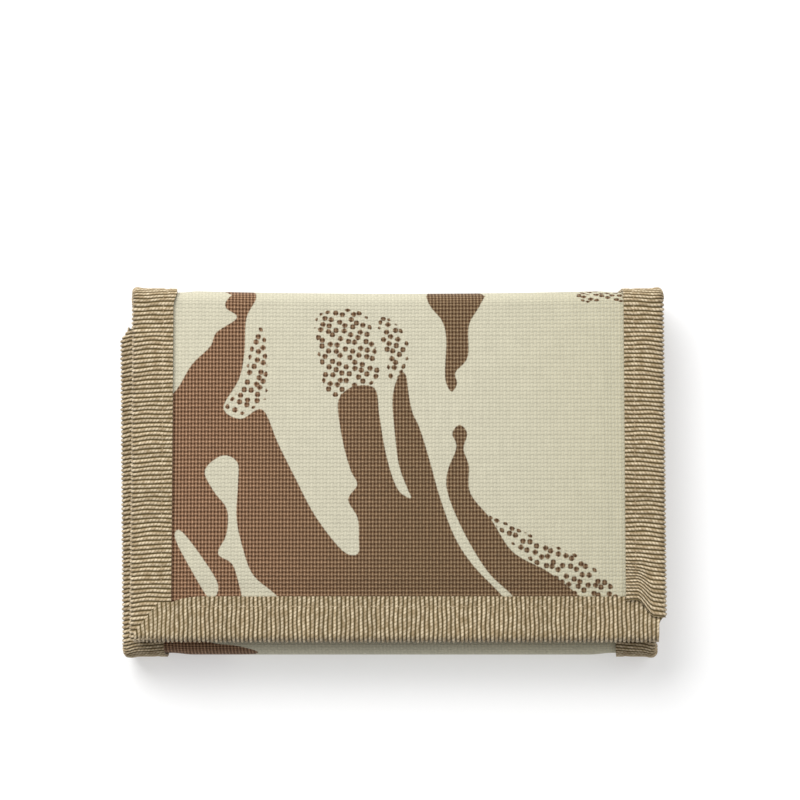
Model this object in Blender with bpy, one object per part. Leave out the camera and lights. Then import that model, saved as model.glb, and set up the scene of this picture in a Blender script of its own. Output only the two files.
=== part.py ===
"""A roll-fold textile wallet, closed: one long bound strip of cloth folded in three.

The strip runs, in order, from the inner panel, round the bottom fold, along the back, round the top
fold, and down the front as the flap. Each stretch between two folds is a leaf. A leaf is drawn flat,
with x across the strip, y along it away from its fold, and z as the depth under its outer face, and
an empty on the fold's hinge line carries it. +X is to the right of the closed wallet, +Y points to
the top fold, and +Z goes from the back panel, which lies on z = 0, to the flap.
"""

import math

import bmesh
import bpy

MM = 0.001

# The closed wallet
STRIP_WIDTH = 127.2
FOLD_TO_FOLD = 88.0
THICKNESS = 15.5
INNER_TOP = 9.9
FLAP_LENGTH = 84.8
INNER_LENGTH = 79.0
FLAP_SHIFT, BACK_SHIFT, INNER_SHIFT = 1.4, 0.1, -1.4

# Depths under the outer face, as (nearest, furthest)
GAP = 0.3
FOLD_GAP = 0.6
MITRE_GAP = 1.0
TAPE = 0.5
TAPE_REACH = 10.8
OUTER_TAPE = (0.0, TAPE)
COVER = (0.8, 1.5)
LINING = (1.8, 2.3)
UNDER_COVER = (1.8, 2.3)
UNDER_LINING = (2.6, 3.1)
HINGE = TAPE / 2
CARD_SLOTS = (
    ("card_slot_rear", (2.6, 3.0), 30.0),
    ("card_slot_middle", (3.3, 3.7), 16.0),
    ("card_slot_front", (4.0, 4.4), 2.0),
)
CARD_SLOT_FOOT, CARD_SLOT_WIDTH = -36.0, 94.0
CUTTER_PAST = 3.0

# The inner panel's own layers, from its outer face down to the back panel's card slots
ZIP_TAPE = (1.8, 2.2)
SLIDER_UNDER = (2.5, 2.9)
COIN_BAG = (3.2, 3.6)
INNER_LINING = (3.9, 4.4)
ID_WINDOW = (4.7, 5.1)
UNDER_INNER = (4.7, 5.2)
COIN_BAG_WIDTH, POCKET_FOOT = 100.0, 9.0
ID_WINDOW_WIDTH, ID_WINDOW_HEAD, ID_WINDOW_RIM = 94.0, 65.0, 7.0
PANE_INSET = 0.05

# Hook and loop closure
PATCH_WIDTH, PATCH_HEIGHT, PATCH_FROM_EDGE = 90.0, 20.0, 3.0
LOOP_DEPTH, HOOK_DEPTH = (-1.3, 0.5), (2.6, 4.0)

# Zip of the coin pocket, y counted from the middle of the closed wallet
ZIP_Y, ZIP_HALF = 12.0, 46.0
ROW_INNER, ROW_OUTER, ROW_DEPTH = 0.55, 2.0, (1.0, 2.2)
SLIT_HALF, SLIT_PAST = 3.1, 4.0
ZIP_TAPE_REACH, ZIP_TAPE_PAST = 10.0, 3.5
STOP_LENGTH, STOP_DEPTH = 1.6, (0.7, 2.3)
SLIDER_LENGTH, SLIDER_HALF = 7.6, 2.8
SLIDER_START = ZIP_HALF - 5.0
SLIDER_TOP = (0.1, 0.7)
JOIN = 0.2
WEDGE_LENGTH, WEDGE_HALF = 2.4, 0.25
BAIL_REACH, BAIL_HALF, BAIL_WALL, BAIL_TOP = 3.0, 0.7, 0.8, -1.7
BAIL_ROOF = 0.5
PULLER_DEPTH, PULLER_THICK, PULLER_REACH, PULLER_HALF = -0.55, 0.7, 16.0, 2.0
EYE_REACH, EYE_HALF = 4.4, 1.1
TIP_HOLE, TIP_HOLE_HALF = (1.6, 3.4), 0.9


def start_scene():
    for obj in list(bpy.data.objects):
        bpy.data.objects.remove(obj, do_unlink=True)
    made = []
    for name in ("trifold_wallet", "cutters"):
        made.append(bpy.data.collections.new(name))
        bpy.context.scene.collection.children.link(made[-1])
    return made


WALLET, CUTTERS = start_scene()


def finish(name, colour, roughness, metallic=0.0):
    material = bpy.data.materials.new(name)
    material.use_nodes = True
    shader = material.node_tree.nodes["Principled BSDF"]
    shader.inputs["Base Color"].default_value = (*colour, 1.0)
    shader.inputs["Roughness"].default_value = roughness
    shader.inputs["Metallic"].default_value = metallic
    return material


CAMOUFLAGE = finish("camouflage_cloth", (0.55, 0.47, 0.33), 0.85)
BINDING = finish("binding_tape", (0.42, 0.32, 0.20), 0.8)
INSIDE = finish("lining_cloth", (0.45, 0.37, 0.25), 0.8)
HOOK_AND_LOOP = finish("hook_and_loop", (0.40, 0.31, 0.20), 0.95)
VINYL = finish("clear_vinyl", (0.85, 0.87, 0.88), 0.15)
ZIP_CLOTH = finish("zip_tape", (0.38, 0.30, 0.19), 0.85)
NYLON = finish("zip_nylon", (0.30, 0.23, 0.14), 0.45)
METAL = finish("zip_metal", (0.30, 0.27, 0.23), 0.35, 1.0)


# Leaves: an empty on each fold's hinge line, every one parented to the leaf before it


def leaf(name, parent, corner, turn):
    """corner is the hinge line's (y, z) in the row's frame, and turn the leaf's whole turn about X."""
    empty = bpy.data.objects.new(name, None)
    WALLET.objects.link(empty)
    empty.location = (0.0, corner[0] * MM, corner[1] * MM)
    empty.rotation_euler = (math.radians(turn), 0.0, 0.0)
    bpy.context.view_layer.update()
    if parent:
        world = empty.matrix_world.copy()
        empty.parent = parent
        empty.matrix_parent_inverse = parent.matrix_world.inverted()
        bpy.context.view_layer.update()
        empty.matrix_world = world
    bpy.context.view_layer.update()
    return empty


EDGE = FOLD_TO_FOLD / 2 - HINGE
BACK = leaf("back_leaf", None, (0.0, 0.0), 0)
TOP_FOLD = leaf("top_fold_leaf", BACK, (EDGE, HINGE), 90)
FLAP = leaf("flap_leaf", TOP_FOLD, (EDGE, THICKNESS - HINGE), 180)
BOTTOM_FOLD = leaf("bottom_fold_leaf", BACK, (-EDGE, HINGE), -90)
INNER = leaf("inner_leaf", BOTTOM_FOLD, (-EDGE, INNER_TOP - HINGE), 180)

# How far the strip runs on each leaf, from its fold, and which way along the leaf's own y
SHIFT = {
    BACK: BACK_SHIFT,
    TOP_FOLD: (BACK_SHIFT + FLAP_SHIFT) / 2,
    FLAP: FLAP_SHIFT,
    BOTTOM_FOLD: (BACK_SHIFT + INNER_SHIFT) / 2,
    INNER: INNER_SHIFT,
}
AWAY = {BACK: 1, TOP_FOLD: 1, FLAP: 1, BOTTOM_FOLD: -1, INNER: -1}


def span(on, depth):
    """The stretch that a layer takes of a leaf, with the narrow fold leaves clear of the panels."""
    near, far = depth
    if on is BACK:
        return near - FOLD_TO_FOLD / 2, FOLD_TO_FOLD / 2 - near
    if on is TOP_FOLD:
        return far + FOLD_GAP, THICKNESS - far - FOLD_GAP
    if on is BOTTOM_FOLD:
        return far + FOLD_GAP, INNER_TOP - far - FOLD_GAP
    return near, (FLAP_LENGTH if on is FLAP else INNER_LENGTH)


def mitred_span(on, depth):
    """The same for side tape, whose ends are mitred at each fold."""
    if on is BACK:
        return depth - FOLD_TO_FOLD / 2, FOLD_TO_FOLD / 2 - depth
    if on in (TOP_FOLD, BOTTOM_FOLD):
        height = THICKNESS if on is TOP_FOLD else INNER_TOP
        return depth + MITRE_GAP, height - depth - MITRE_GAP
    return depth, (FLAP_LENGTH if on is FLAP else INNER_LENGTH)


def local(on, x, along, depth):
    """A point of the strip in its leaf's own frame, in metres."""
    hinge = 0.0 if on is BACK else HINGE
    return (
        (x + SHIFT[on]) * MM,
        AWAY[on] * (along - hinge) * MM,
        (depth - hinge) * MM,
    )


def place(name, mesh, on, material, collection=WALLET):
    obj = bpy.data.objects.new(name, mesh)
    collection.objects.link(obj)
    obj.parent = on
    mesh.materials.append(material)
    if collection is CUTTERS:
        obj.hide_render = True
        obj.display_type = "WIRE"
    return obj


def block(name, on, across, along, depth, material, collection=WALLET):
    """A flat piece between two x, two distances from the fold and two depths."""
    low, high = (
        local(on, across[end], along[end], depth[end]) for end in (0, 1)
    )
    bm = bmesh.new()
    bmesh.ops.create_cube(bm, size=1.0)
    for vert in bm.verts:
        for i in range(3):
            vert.co[i] = (low[i] + high[i]) / 2 + vert.co[i] * abs(high[i] - low[i])
    mesh = bpy.data.meshes.new(name)
    bm.to_mesh(mesh)
    bm.free()
    return place(name, mesh, on, material, collection)


def combine(obj, other, operation):
    modifier = obj.modifiers.new(other.name, "BOOLEAN")
    modifier.operation = operation
    modifier.object = other


def folded_section(edge, leg, depth_in):
    """The section of tape folded round an edge: a U, as (across, depth) points."""
    wall = edge - math.copysign(TAPE, edge - leg)
    under = depth_in[0]
    top = depth_in[1]
    return (
        (leg, 0.0),
        (edge, 0.0),
        (edge, top),
        (leg, top),
        (leg, under),
        (wall, under),
        (wall, TAPE),
        (leg, TAPE),
    )


def drawn_out(name, on, starts, stops):
    """A closed section drawn from one set of points to another."""
    bm = bmesh.new()
    row = [bm.verts.new(start) for start in starts]
    bm.verts.index_update()
    drawn = bmesh.ops.extrude_face_region(bm, geom=[bm.faces.new(row)])["geom"]
    far_row = [item for item in drawn if isinstance(item, bmesh.types.BMVert)]
    for vert in far_row:
        index = min(range(len(row)), key=lambda i: (row[i].co - vert.co).length)
        vert.co = stops[index]
    bmesh.ops.recalc_face_normals(bm, faces=bm.faces)
    mesh = bpy.data.meshes.new(name)
    bm.to_mesh(mesh)
    bm.free()
    return place(name, mesh, on, BINDING)


def side_tape(name, on, side, depth_in, trim=0.0):
    """Binding tape folded round one long edge of the strip, from the outer face to depth_in."""
    edge = side * STRIP_WIDTH / 2
    section = folded_section(edge, edge - side * TAPE_REACH, depth_in)
    starts, stops = [], []
    for x, depth in section:
        start, stop = mitred_span(on, depth)
        starts.append(local(on, x, start, depth))
        stops.append(local(on, x, stop - trim, depth))
    return drawn_out(name, on, starts, stops)


def end_tape(name, on, depth_in):
    """Binding tape folded round a free end of the strip, over its whole width."""
    edge = FLAP_LENGTH if on is FLAP else INNER_LENGTH
    section = folded_section(edge, edge - TAPE_REACH, depth_in)
    ends = [
        [local(on, side * STRIP_WIDTH / 2, along, depth) for along, depth in section]
        for side in (-1, 1)
    ]
    return drawn_out(name, on, *ends)


def cover_and_lining(part, on, lining_depth=LINING, end_trim=0.0):
    """The camouflage cover, and the lining behind it, which leaves the note pocket open at the left."""
    half = STRIP_WIDTH / 2 - TAPE - GAP
    left = -STRIP_WIDTH / 2 + TAPE_REACH + 2 * GAP
    start, stop = span(on, COVER)
    cover = block(
        f"cover_{part}", on, (-half, half), (start, stop - end_trim), COVER, CAMOUFLAGE
    )
    start, stop = span(on, lining_depth)
    block(f"lining_{part}", on, (left, half), (start, stop - end_trim), lining_depth, INSIDE)
    return cover


def bound_leaf(part, on, under_cover, under_lining, trim=0.0):
    side_tape(f"left_tape_{part}", on, -1, under_cover, trim)
    side_tape(f"right_tape_{part}", on, 1, under_lining, trim)


# Back panel, with three stepped card slots


def back_panel():
    cover_and_lining("back", BACK)
    bound_leaf("back", BACK, UNDER_COVER, UNDER_LINING)
    for name, depth, mouth in CARD_SLOTS:
        across = (-CARD_SLOT_WIDTH / 2, CARD_SLOT_WIDTH / 2)
        block(name, BACK, across, (CARD_SLOT_FOOT, mouth), depth, INSIDE)


# The two folds, which the cover, lining and side tapes run round


def folds():
    for part, on in (("top_fold", TOP_FOLD), ("bottom_fold", BOTTOM_FOLD)):
        cover_and_lining(part, on)
        bound_leaf(part, on, UNDER_COVER, UNDER_LINING)


# Flap, with its bound free edge and the hook half of the closure


def flap():
    trim = TAPE + GAP
    cover_and_lining("flap", FLAP, end_trim=trim)
    bound_leaf("flap", FLAP, UNDER_COVER, UNDER_LINING, trim=TAPE_REACH + GAP)
    end_tape("flap_edge_tape", FLAP, UNDER_LINING)
    across = (-PATCH_WIDTH / 2, PATCH_WIDTH / 2)
    stop = FLAP_LENGTH - TAPE_REACH - PATCH_FROM_EDGE
    block("hook_patch", FLAP, across, (stop - PATCH_HEIGHT, stop), HOOK_DEPTH, HOOK_AND_LOOP)
    return FOLD_TO_FOLD - stop  # where the loop half starts, from the bottom fold


# Inner panel: its cover holds the zip of the coin pocket, and its lining side the window for a card


def from_bottom(y):
    """The distance from the bottom fold of a y counted from the middle of the closed wallet."""
    return y + FOLD_TO_FOLD / 2


def inner_panel(patch_start):
    trim = TAPE + GAP
    cover = cover_and_lining("inner", INNER, INNER_LINING, end_trim=trim)
    bound_leaf("inner", INNER, UNDER_COVER, UNDER_INNER, trim=TAPE_REACH + GAP)
    end_tape("inner_edge_tape", INNER, UNDER_INNER)

    zip_line = from_bottom(ZIP_Y)
    slit_end = ZIP_HALF + SLIT_PAST
    slit = (zip_line - SLIT_HALF, zip_line + SLIT_HALF)
    combine(
        cover,
        block("slit_cutter", INNER, (-slit_end, slit_end), slit, (0.0, CUTTER_PAST), CAMOUFLAGE,
              CUTTERS),
        "DIFFERENCE",
    )
    across = (-COIN_BAG_WIDTH / 2, COIN_BAG_WIDTH / 2)
    block("coin_bag", INNER, across, (POCKET_FOOT, zip_line + ZIP_TAPE_REACH), COIN_BAG, INSIDE)

    across = (-PATCH_WIDTH / 2, PATCH_WIDTH / 2)
    block("loop_patch", INNER, across, (patch_start, patch_start + PATCH_HEIGHT), LOOP_DEPTH,
          HOOK_AND_LOOP)
    id_window()


def id_window():
    """A clear pane in a cloth frame, on the side that faces the card slots."""
    across = (-ID_WINDOW_WIDTH / 2, ID_WINDOW_WIDTH / 2)
    along = (POCKET_FOOT, ID_WINDOW_HEAD)
    opening_x = (across[0] + ID_WINDOW_RIM, across[1] - ID_WINDOW_RIM)
    opening_y = (along[0] + ID_WINDOW_RIM, along[1] - ID_WINDOW_RIM)
    through = (ID_WINDOW[0] - CUTTER_PAST, ID_WINDOW[1] + CUTTER_PAST)
    frame = block("id_window_frame", INNER, across, along, ID_WINDOW, INSIDE)
    cutter = block("pane_cutter", INNER, opening_x, opening_y, through, INSIDE, CUTTERS)
    combine(frame, cutter, "DIFFERENCE")
    block(
        "id_window_pane",
        INNER,
        (opening_x[0] + GAP, opening_x[1] - GAP),
        (opening_y[0] + GAP, opening_y[1] - GAP),
        (ID_WINDOW[0] + PANE_INSET, ID_WINDOW[1] - PANE_INSET),
        VINYL,
    )


# Zip: two tapes, two nylon rows, a stop at each end, a slider and its puller


def zip_chain():
    zip_line = from_bottom(ZIP_Y)
    tape_x = (-ZIP_HALF - ZIP_TAPE_PAST, ZIP_HALF + ZIP_TAPE_PAST)
    row_x = (-ZIP_HALF, ZIP_HALF)
    for part, side in (("upper", 1), ("lower", -1)):
        tape_y = sorted(zip_line + side * y for y in (ROW_OUTER + GAP, ZIP_TAPE_REACH))
        row_y = sorted(zip_line + side * y for y in (ROW_INNER, ROW_OUTER))
        block(f"zip_tape_{part}", INNER, tape_x, tape_y, ZIP_TAPE, ZIP_CLOTH)
        block(f"zip_row_{part}", INNER, row_x, row_y, ROW_DEPTH, NYLON)
    stop_y = (zip_line - ROW_OUTER, zip_line + ROW_OUTER)
    for part, side in (("open_end", -1), ("closed_end", 1)):
        stop_x = sorted(side * x for x in (ZIP_HALF + GAP, ZIP_HALF + GAP + STOP_LENGTH))
        block(f"zip_stop_{part}", INNER, stop_x, stop_y, STOP_DEPTH, METAL)


def zip_slider():
    """Two plates joined by the wedge that parts the rows, with a bail on top for the puller."""
    line = from_bottom(ZIP_Y)
    near, far = SLIDER_START - SLIDER_LENGTH / 2, SLIDER_START + SLIDER_LENGTH / 2

    def piece(name, x, half, depth, collection=CUTTERS):
        y = (line - half, line + half)
        return block(name, INNER, x, y, depth, METAL, collection)

    bail_x = (SLIDER_START - BAIL_REACH, SLIDER_START + BAIL_REACH)
    under_x = (bail_x[0] + BAIL_WALL, bail_x[1] - BAIL_WALL)
    wedge_depth = (SLIDER_TOP[1] - JOIN, SLIDER_UNDER[0] + JOIN)
    body = piece("zip_slider", (near, far), SLIDER_HALF, SLIDER_TOP, WALLET)
    wedge = piece("slider_wedge", (far - WEDGE_LENGTH, far), WEDGE_HALF, wedge_depth)
    under = piece("slider_under", (near, far), SLIDER_HALF, SLIDER_UNDER)
    bail = piece("slider_bail", bail_x, BAIL_HALF, (BAIL_TOP, SLIDER_TOP[0] + JOIN))
    under_bail = piece("bail_cutter", under_x, 2 * SLIDER_HALF, (BAIL_TOP + BAIL_ROOF, SLIDER_TOP[0]))
    combine(bail, under_bail, "DIFFERENCE")
    for part in (wedge, under, bail):
        combine(body, part, "UNION")


def zip_puller():
    """A flat tab with an eye, whose end bar lies under the slider's bail and is the hinge line."""
    line = from_bottom(ZIP_Y)
    depth = (PULLER_DEPTH - PULLER_THICK / 2, PULLER_DEPTH + PULLER_THICK / 2)
    tip = SLIDER_START - PULLER_REACH
    bar = PULLER_THICK / 2

    def piece(name, x, half, deep=depth, collection=CUTTERS):
        return block(name, INNER, x, (line - half, line + half), deep, METAL, collection)

    through = (depth[0] - CUTTER_PAST, depth[1] + CUTTER_PAST)
    tab = piece("zip_puller", (tip, SLIDER_START + bar), PULLER_HALF, collection=WALLET)
    eye_x = (SLIDER_START - EYE_REACH, SLIDER_START - bar)
    combine(tab, piece("puller_eye", eye_x, EYE_HALF, through), "DIFFERENCE")
    hole_x = (tip + TIP_HOLE[0], tip + TIP_HOLE[1])
    combine(tab, piece("puller_hole", hole_x, TIP_HOLE_HALF, through), "DIFFERENCE")


back_panel()
folds()
inner_panel(flap())
zip_chain()
zip_slider()
zip_puller()
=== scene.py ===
import math

import bpy
import numpy as np
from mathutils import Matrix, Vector


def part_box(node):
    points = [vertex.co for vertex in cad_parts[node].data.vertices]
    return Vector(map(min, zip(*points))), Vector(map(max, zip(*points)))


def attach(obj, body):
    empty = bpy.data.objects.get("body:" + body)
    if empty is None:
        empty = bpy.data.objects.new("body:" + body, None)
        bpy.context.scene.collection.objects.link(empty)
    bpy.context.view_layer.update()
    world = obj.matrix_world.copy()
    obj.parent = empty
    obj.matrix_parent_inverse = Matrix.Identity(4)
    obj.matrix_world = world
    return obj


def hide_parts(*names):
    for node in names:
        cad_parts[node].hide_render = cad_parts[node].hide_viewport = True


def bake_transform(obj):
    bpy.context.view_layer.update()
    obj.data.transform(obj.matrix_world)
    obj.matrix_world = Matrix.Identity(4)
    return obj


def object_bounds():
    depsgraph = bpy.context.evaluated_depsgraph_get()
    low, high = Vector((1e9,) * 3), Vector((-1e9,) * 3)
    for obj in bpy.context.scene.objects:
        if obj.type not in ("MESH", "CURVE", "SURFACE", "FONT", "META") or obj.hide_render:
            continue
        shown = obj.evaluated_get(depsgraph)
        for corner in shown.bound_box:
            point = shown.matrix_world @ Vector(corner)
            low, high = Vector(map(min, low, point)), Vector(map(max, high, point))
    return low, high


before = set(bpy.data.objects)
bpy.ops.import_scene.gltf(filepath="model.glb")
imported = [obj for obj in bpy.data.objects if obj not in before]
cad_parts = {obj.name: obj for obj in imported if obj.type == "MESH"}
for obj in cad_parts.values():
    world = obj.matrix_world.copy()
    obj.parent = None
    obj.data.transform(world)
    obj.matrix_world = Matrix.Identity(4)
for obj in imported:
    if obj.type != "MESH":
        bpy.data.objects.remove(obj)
cad_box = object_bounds()


# The strip. The wallet is one long strip of layered cloth, folded in three: flap, top fold, back,
# bottom fold and inner panel. Sewing it askew by a millimetre or so is what shifts the panels.
# Everything sewn to it is placed by how far across, how far along and how deep under its face it is.

MM = 0.001


def corners_of(node):
    """A node's lowest and highest corner, in millimetres."""
    return [np.array(corner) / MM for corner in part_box(node)]


flap_corners = corners_of("flap_edge_tape")
inner_corners = corners_of("inner_edge_tape")
back_sides = (corners_of("left_tape_back")[0][0], corners_of("right_tape_back")[1][0])
strip_half = (flap_corners[1][0] - flap_corners[0][0]) / 2
fold_y, thickness = cad_box[1].y / MM, cad_box[1].z / MM
inner_top = inner_corners[1][2]

FOLD_RADIUS, LEAST_RADIUS = 3.6, 0.3
TOP_PULL_IN, PULL_IN_HALF, PULL_IN_REACH = 0.8, 56.0, 14.0
INNER_ASKEW, SHIFT_EASE = (0.7, -0.6), 2.0
CORNER_FLARE, FLARE_WIDTH, FLARE_EASE = 0.45, 3.0, 10.0

# Each fold corner's (y, z), and how far along the strip it is from the flap's free edge
fold_corners = np.array(
    [(fold_y, thickness), (fold_y, 0.0), (-fold_y, 0.0), (-fold_y, inner_top)]
)
flap_run = fold_y - flap_corners[0][1]
fold_runs = np.cumsum([flap_run, thickness, 2 * fold_y, inner_top])
strip_run = fold_runs[3] + inner_corners[1][1] + fold_y
headings = np.array([(1, 0), (0, -1), (-1, 0), (0, 1), (1, 0), (0, -1)], float)
shifts = (
    (flap_corners[0][0] + flap_corners[1][0]) / 2,
    sum(back_sides) / 2,
    (inner_corners[0][0] + inner_corners[1][0]) / 2,
)


def eased(value, low, high):
    """0 below low, 1 above high, and smooth between."""
    share = np.clip((value - low) / (high - low), 0.0, 1.0)
    return share * share * (3 - 2 * share)


def over_fold(run, first, before, after):
    """1 over a fold, given by its first corner's number, and 0 away from it."""
    rise = eased(run, fold_runs[first] - before, fold_runs[first])
    return rise * (1 - eased(run, fold_runs[first + 1], fold_runs[first + 1] + after))


def shift_at(run):
    """How far the panels are off the middle; the inner one also lies aslant."""
    to_back = eased(run, fold_runs[0] - SHIFT_EASE, fold_runs[1] + SHIFT_EASE)
    to_inner = eased(run, fold_runs[2] - SHIFT_EASE, fold_runs[3] + SHIFT_EASE)
    askew = np.interp(run, (fold_runs[3], strip_run), INNER_ASKEW)
    on_inner = shifts[2] - shifts[1] + askew
    return shifts[0] + (shifts[1] - shifts[0]) * to_back + on_inner * to_inner


def strip_point(across, run, depth):
    """Points in millimetres for places on the strip, folded and lying as it does when closed."""
    across, run, depth = np.broadcast_arrays(across, run, depth)
    nearest = np.abs(run[..., None] - fold_runs).argmin(-1)
    past = (run - fold_runs[nearest])[..., None]
    corner = fold_corners[nearest]
    ahead, inward, back = headings[nearest], headings[nearest + 1], headings[nearest + 2]
    radius = (FOLD_RADIUS - np.minimum(depth, FOLD_RADIUS - LEAST_RADIUS))[..., None]
    turn = (past + FOLD_RADIUS) / (2 * FOLD_RADIUS) * math.pi / 2
    centre = corner + (inward - ahead) * FOLD_RADIUS
    bent = centre - inward * radius * np.cos(turn) + ahead * radius * np.sin(turn)
    before = corner + ahead * past + inward * depth[..., None]
    after = corner + inward * past + back * depth[..., None]
    place = np.where(past < -FOLD_RADIUS, before, np.where(past > FOLD_RADIUS, after, bent))
    y, z = place[..., 0], place[..., 1]
    pull = TOP_PULL_IN * np.clip(1 - (across / PULL_IN_HALF) ** 2, 0, 1)
    y = y - pull * eased(y, fold_y - PULL_IN_REACH, fold_y)
    flare = over_fold(run, 0, FLARE_EASE, FLARE_EASE) - over_fold(run, 2, FLARE_EASE, FLARE_EASE)
    y = y + CORNER_FLARE * eased(np.abs(across), strip_half - FLARE_WIDTH, strip_half) * flare
    return np.stack([across + shift_at(run), y, z], -1)


# Where the strip's pieces are cut so that each bends over one fold only: flap, top, bottom and inner
# part, each with its number, its two bodies, and the (y, z) of the two points that it turns between
cut_runs = (0.0, *(fold_runs[:-1] + fold_runs[1:]) / 2, strip_run)
strip_parts = {
    "flap": (
        0, "top_spine", "flap",
        (fold_y, thickness - FOLD_RADIUS), (fold_y - FOLD_RADIUS, thickness),
    ),
    "top": (1, "back", "top_spine", (fold_y - FOLD_RADIUS, 0.0), (fold_y, FOLD_RADIUS)),
    "bottom": (2, "back", "bottom_spine", (FOLD_RADIUS - fold_y, 0.0), (-fold_y, FOLD_RADIUS)),
    "inner": (
        3, "bottom_spine", "inner",
        (-fold_y, inner_top - FOLD_RADIUS), (FOLD_RADIUS - fold_y, inner_top),
    ),
}


def part_runs(part, off_flap, off_inner):
    """Where a part starts and stops, less what it leaves off at the strip's free ends."""
    number = strip_parts[part][0]
    first = cut_runs[number] + (off_flap if part == "flap" else 0.0)
    return first, cut_runs[number + 1] - (off_inner if part == "inner" else 0.0)


def fold_with(piece):
    """Bakes the piece's placement into its mesh; its points already follow its part's fold."""
    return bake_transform(piece)


# Camouflage cover. The outside of the strip is one length of coarse plain-woven polyester canvas,
# printed with brown masses, runs and spots on a sand ground. It is cut to the strip's width and held
# only by the binding round its edges, and the layers behind raise it slightly between them.

COVER_DEPTHS, COVER_PUFF, PUFF_REACH = (0.8, 1.5), 0.4, 5.0
COVER_INSET, CORNER_DRAW, CORNER_DRAW_REACH = 0.8, 0.03, 8.0
COVER_PITCH, HIDDEN_PITCH, LEAST_ROW = 0.5, 0.75, 0.3
TAPE_REACH = 10.8
CANVAS_THREADS = (0.81, 0.96)

# The print's outlines, in millimetres from the flap's middle line and the wallet's mid height
brown_mass = (
    (-38, 48), (-42, 41), (-39, 37.8), (-44, 34), (-45.5, 30.5), (-50, 26), (-54.5, 19), (-62, 15),
    (-66, 0), (-66, -36), (-40, -39), (0, -37), (22, -40), (27, -33), (18, -22.5), (13.5, -15.5),
    (10, -6), (7.5, 3), (5.2, 10.5), (3.4, 14.5), (2.5, 19), (1.8, 23.6), (0.2, 23.7), (-1.4, 18),
    (-0.8, 9), (0.2, 1.5), (2.2, -4), (3.1, -6.3), (0.2, -4.6), (-1.8, 0), (-3.4, 6.5), (-4.6, 14),
    (-5.6, 20.2), (-10, 21), (-13.6, 19), (-14.6, 15.5), (-13.3, 7), (-11.5, 0.5), (-9.9, -3),
    (-12.1, -6.6), (-9.8, -11), (-9.5, -16), (-9.8, -19.7), (-13.5, -18.8), (-20, -10.5), (-25, -1),
    (-29, 7), (-32.8, 15.2), (-38, 12.9), (-42.2, 15.6), (-38.5, 22.5), (-37.2, 29), (-36.8, 37.5),
    (-34.6, 42.5), (-35, 47),
)
sand_keyhole = (
    (-42.5, 4), (-46.6, 0.4), (-44.4, -4.6), (-41.2, -9), (-41.3, -15), (-43.3, -19.6), (-39.8, -22.2),
    (-37.9, -28), (-36, -34), (-27, -33), (-29.6, -29.3), (-34.8, -24.8), (-37.3, -18.5), (-38.9, -11),
    (-38.6, -3), (-38.8, 2.4),
)
sand_sliver = (
    (-52.3, -14.1), (-53.6, -16), (-49.4, -24), (-45.2, -30.4), (-43.2, -27.2), (-47.2, -20.4),
)
brown_run = (
    (8, 50), (7.2, 42.3), (10.6, 37), (11.6, 32), (11.3, 23), (12.8, 19.5), (14.2, 21.5), (13.8, 24.2),
    (16.8, 28), (17.1, 36), (20.2, 42.2), (21, 50),
)
brown_wedge = (
    (14.8, 11.5), (13, 9.4), (14, 6), (11.8, 0), (12, -5.5), (16, -15), (21.5, -24), (27, -29.3),
    (33, -36), (52, -38), (44, -30.2), (36, -24), (27.5, -19.2), (22.4, -11.5), (17.3, -5), (17, 1.5),
    (15.7, 5.6), (16.6, 9.4),
)
spotted_areas = (
    ((-35, 34.8), (-32, 33), (-31.6, 19), (-34.6, 15.6), (-38, 13.8), (-42, 16), (-37.5, 22)),
    ((-20.3, 37), (-15.5, 40.2), (-8, 39), (-5, 29), (-5.2, 22), (-16.5, 18), (-19, 26)),
    ((-4.5, 38.3), (0, 36), (2.6, 31), (1.6, 25), (-2, 21.6), (-3, 27), (-4.6, 32)),
    (
        (21.4, -10.4), (29, -13.6), (36, -17), (43, -19.8), (50, -25.6), (55, -31.5), (43, -30),
        (30, -20),
    ),
    ((43.5, 45), (45, 41.6), (50, 41.9), (56, 41.6), (56, 45)),
)
SPOT_PITCH, SPOT_RADIUS, SPOT_LEAN, SPOT_SCATTER, NO_SPOT = 1.85, 0.67, 0.4, 0.5, -0.5
PRINT_SCALE, PRINT_DROP = 0.99, 0.6
PRINT_TOP, PRINT_REPEAT, PRINT_LEAN = 44.0, 128.0, 0.05
NOT_PRINTED = 9.0
# A brown foot that rounds the bottom fold, as (across, run past that fold)
brown_foot = (
    (-66, -14), (-52, -12), (-44, -4), (-37, 3), (-31.5, 8.5), (-36, 11.5), (-43, 13), (-50, 19),
    (-58, 24), (-66, 24),
)


def closed_curve(corners, steps=5):
    """A smooth closed curve through an outline's points."""
    points = np.array(corners, float)
    before, after, last = (np.roll(points, shift, 0) for shift in (1, -1, -2))
    pieces = []
    for share in np.arange(steps) / steps:
        pieces.append(
            points
            + 0.5 * share * (after - before)
            + share**2 * (before - 2.5 * points + 2 * after - 0.5 * last)
            + share**3 * (-0.5 * before + 1.5 * points - 1.5 * after + 0.5 * last)
        )
    return np.stack(pieces, 1).reshape(-1, 2)


def edge_distance(x, y, outline):
    """How far each place is from an outline, in millimetres, and below 0 inside it."""
    least = np.full(x.shape, 1e9)
    inside = np.zeros(x.shape, bool)
    for (ax, ay), (bx, by) in zip(outline, np.roll(outline, -1, 0)):
        length = max((bx - ax) ** 2 + (by - ay) ** 2, 1e-12)
        share = np.clip(((x - ax) * (bx - ax) + (y - ay) * (by - ay)) / length, 0, 1)
        off_x, off_y = x - ax - share * (bx - ax), y - ay - share * (by - ay)
        least = np.minimum(least, off_x**2 + off_y**2)
        if ay != by:
            crossing = ax + (y - ay) / (by - ay) * (bx - ax)
            inside ^= ((ay > y) != (by > y)) & (x < crossing)
    return np.sqrt(least) * np.where(inside, -1, 1)


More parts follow.
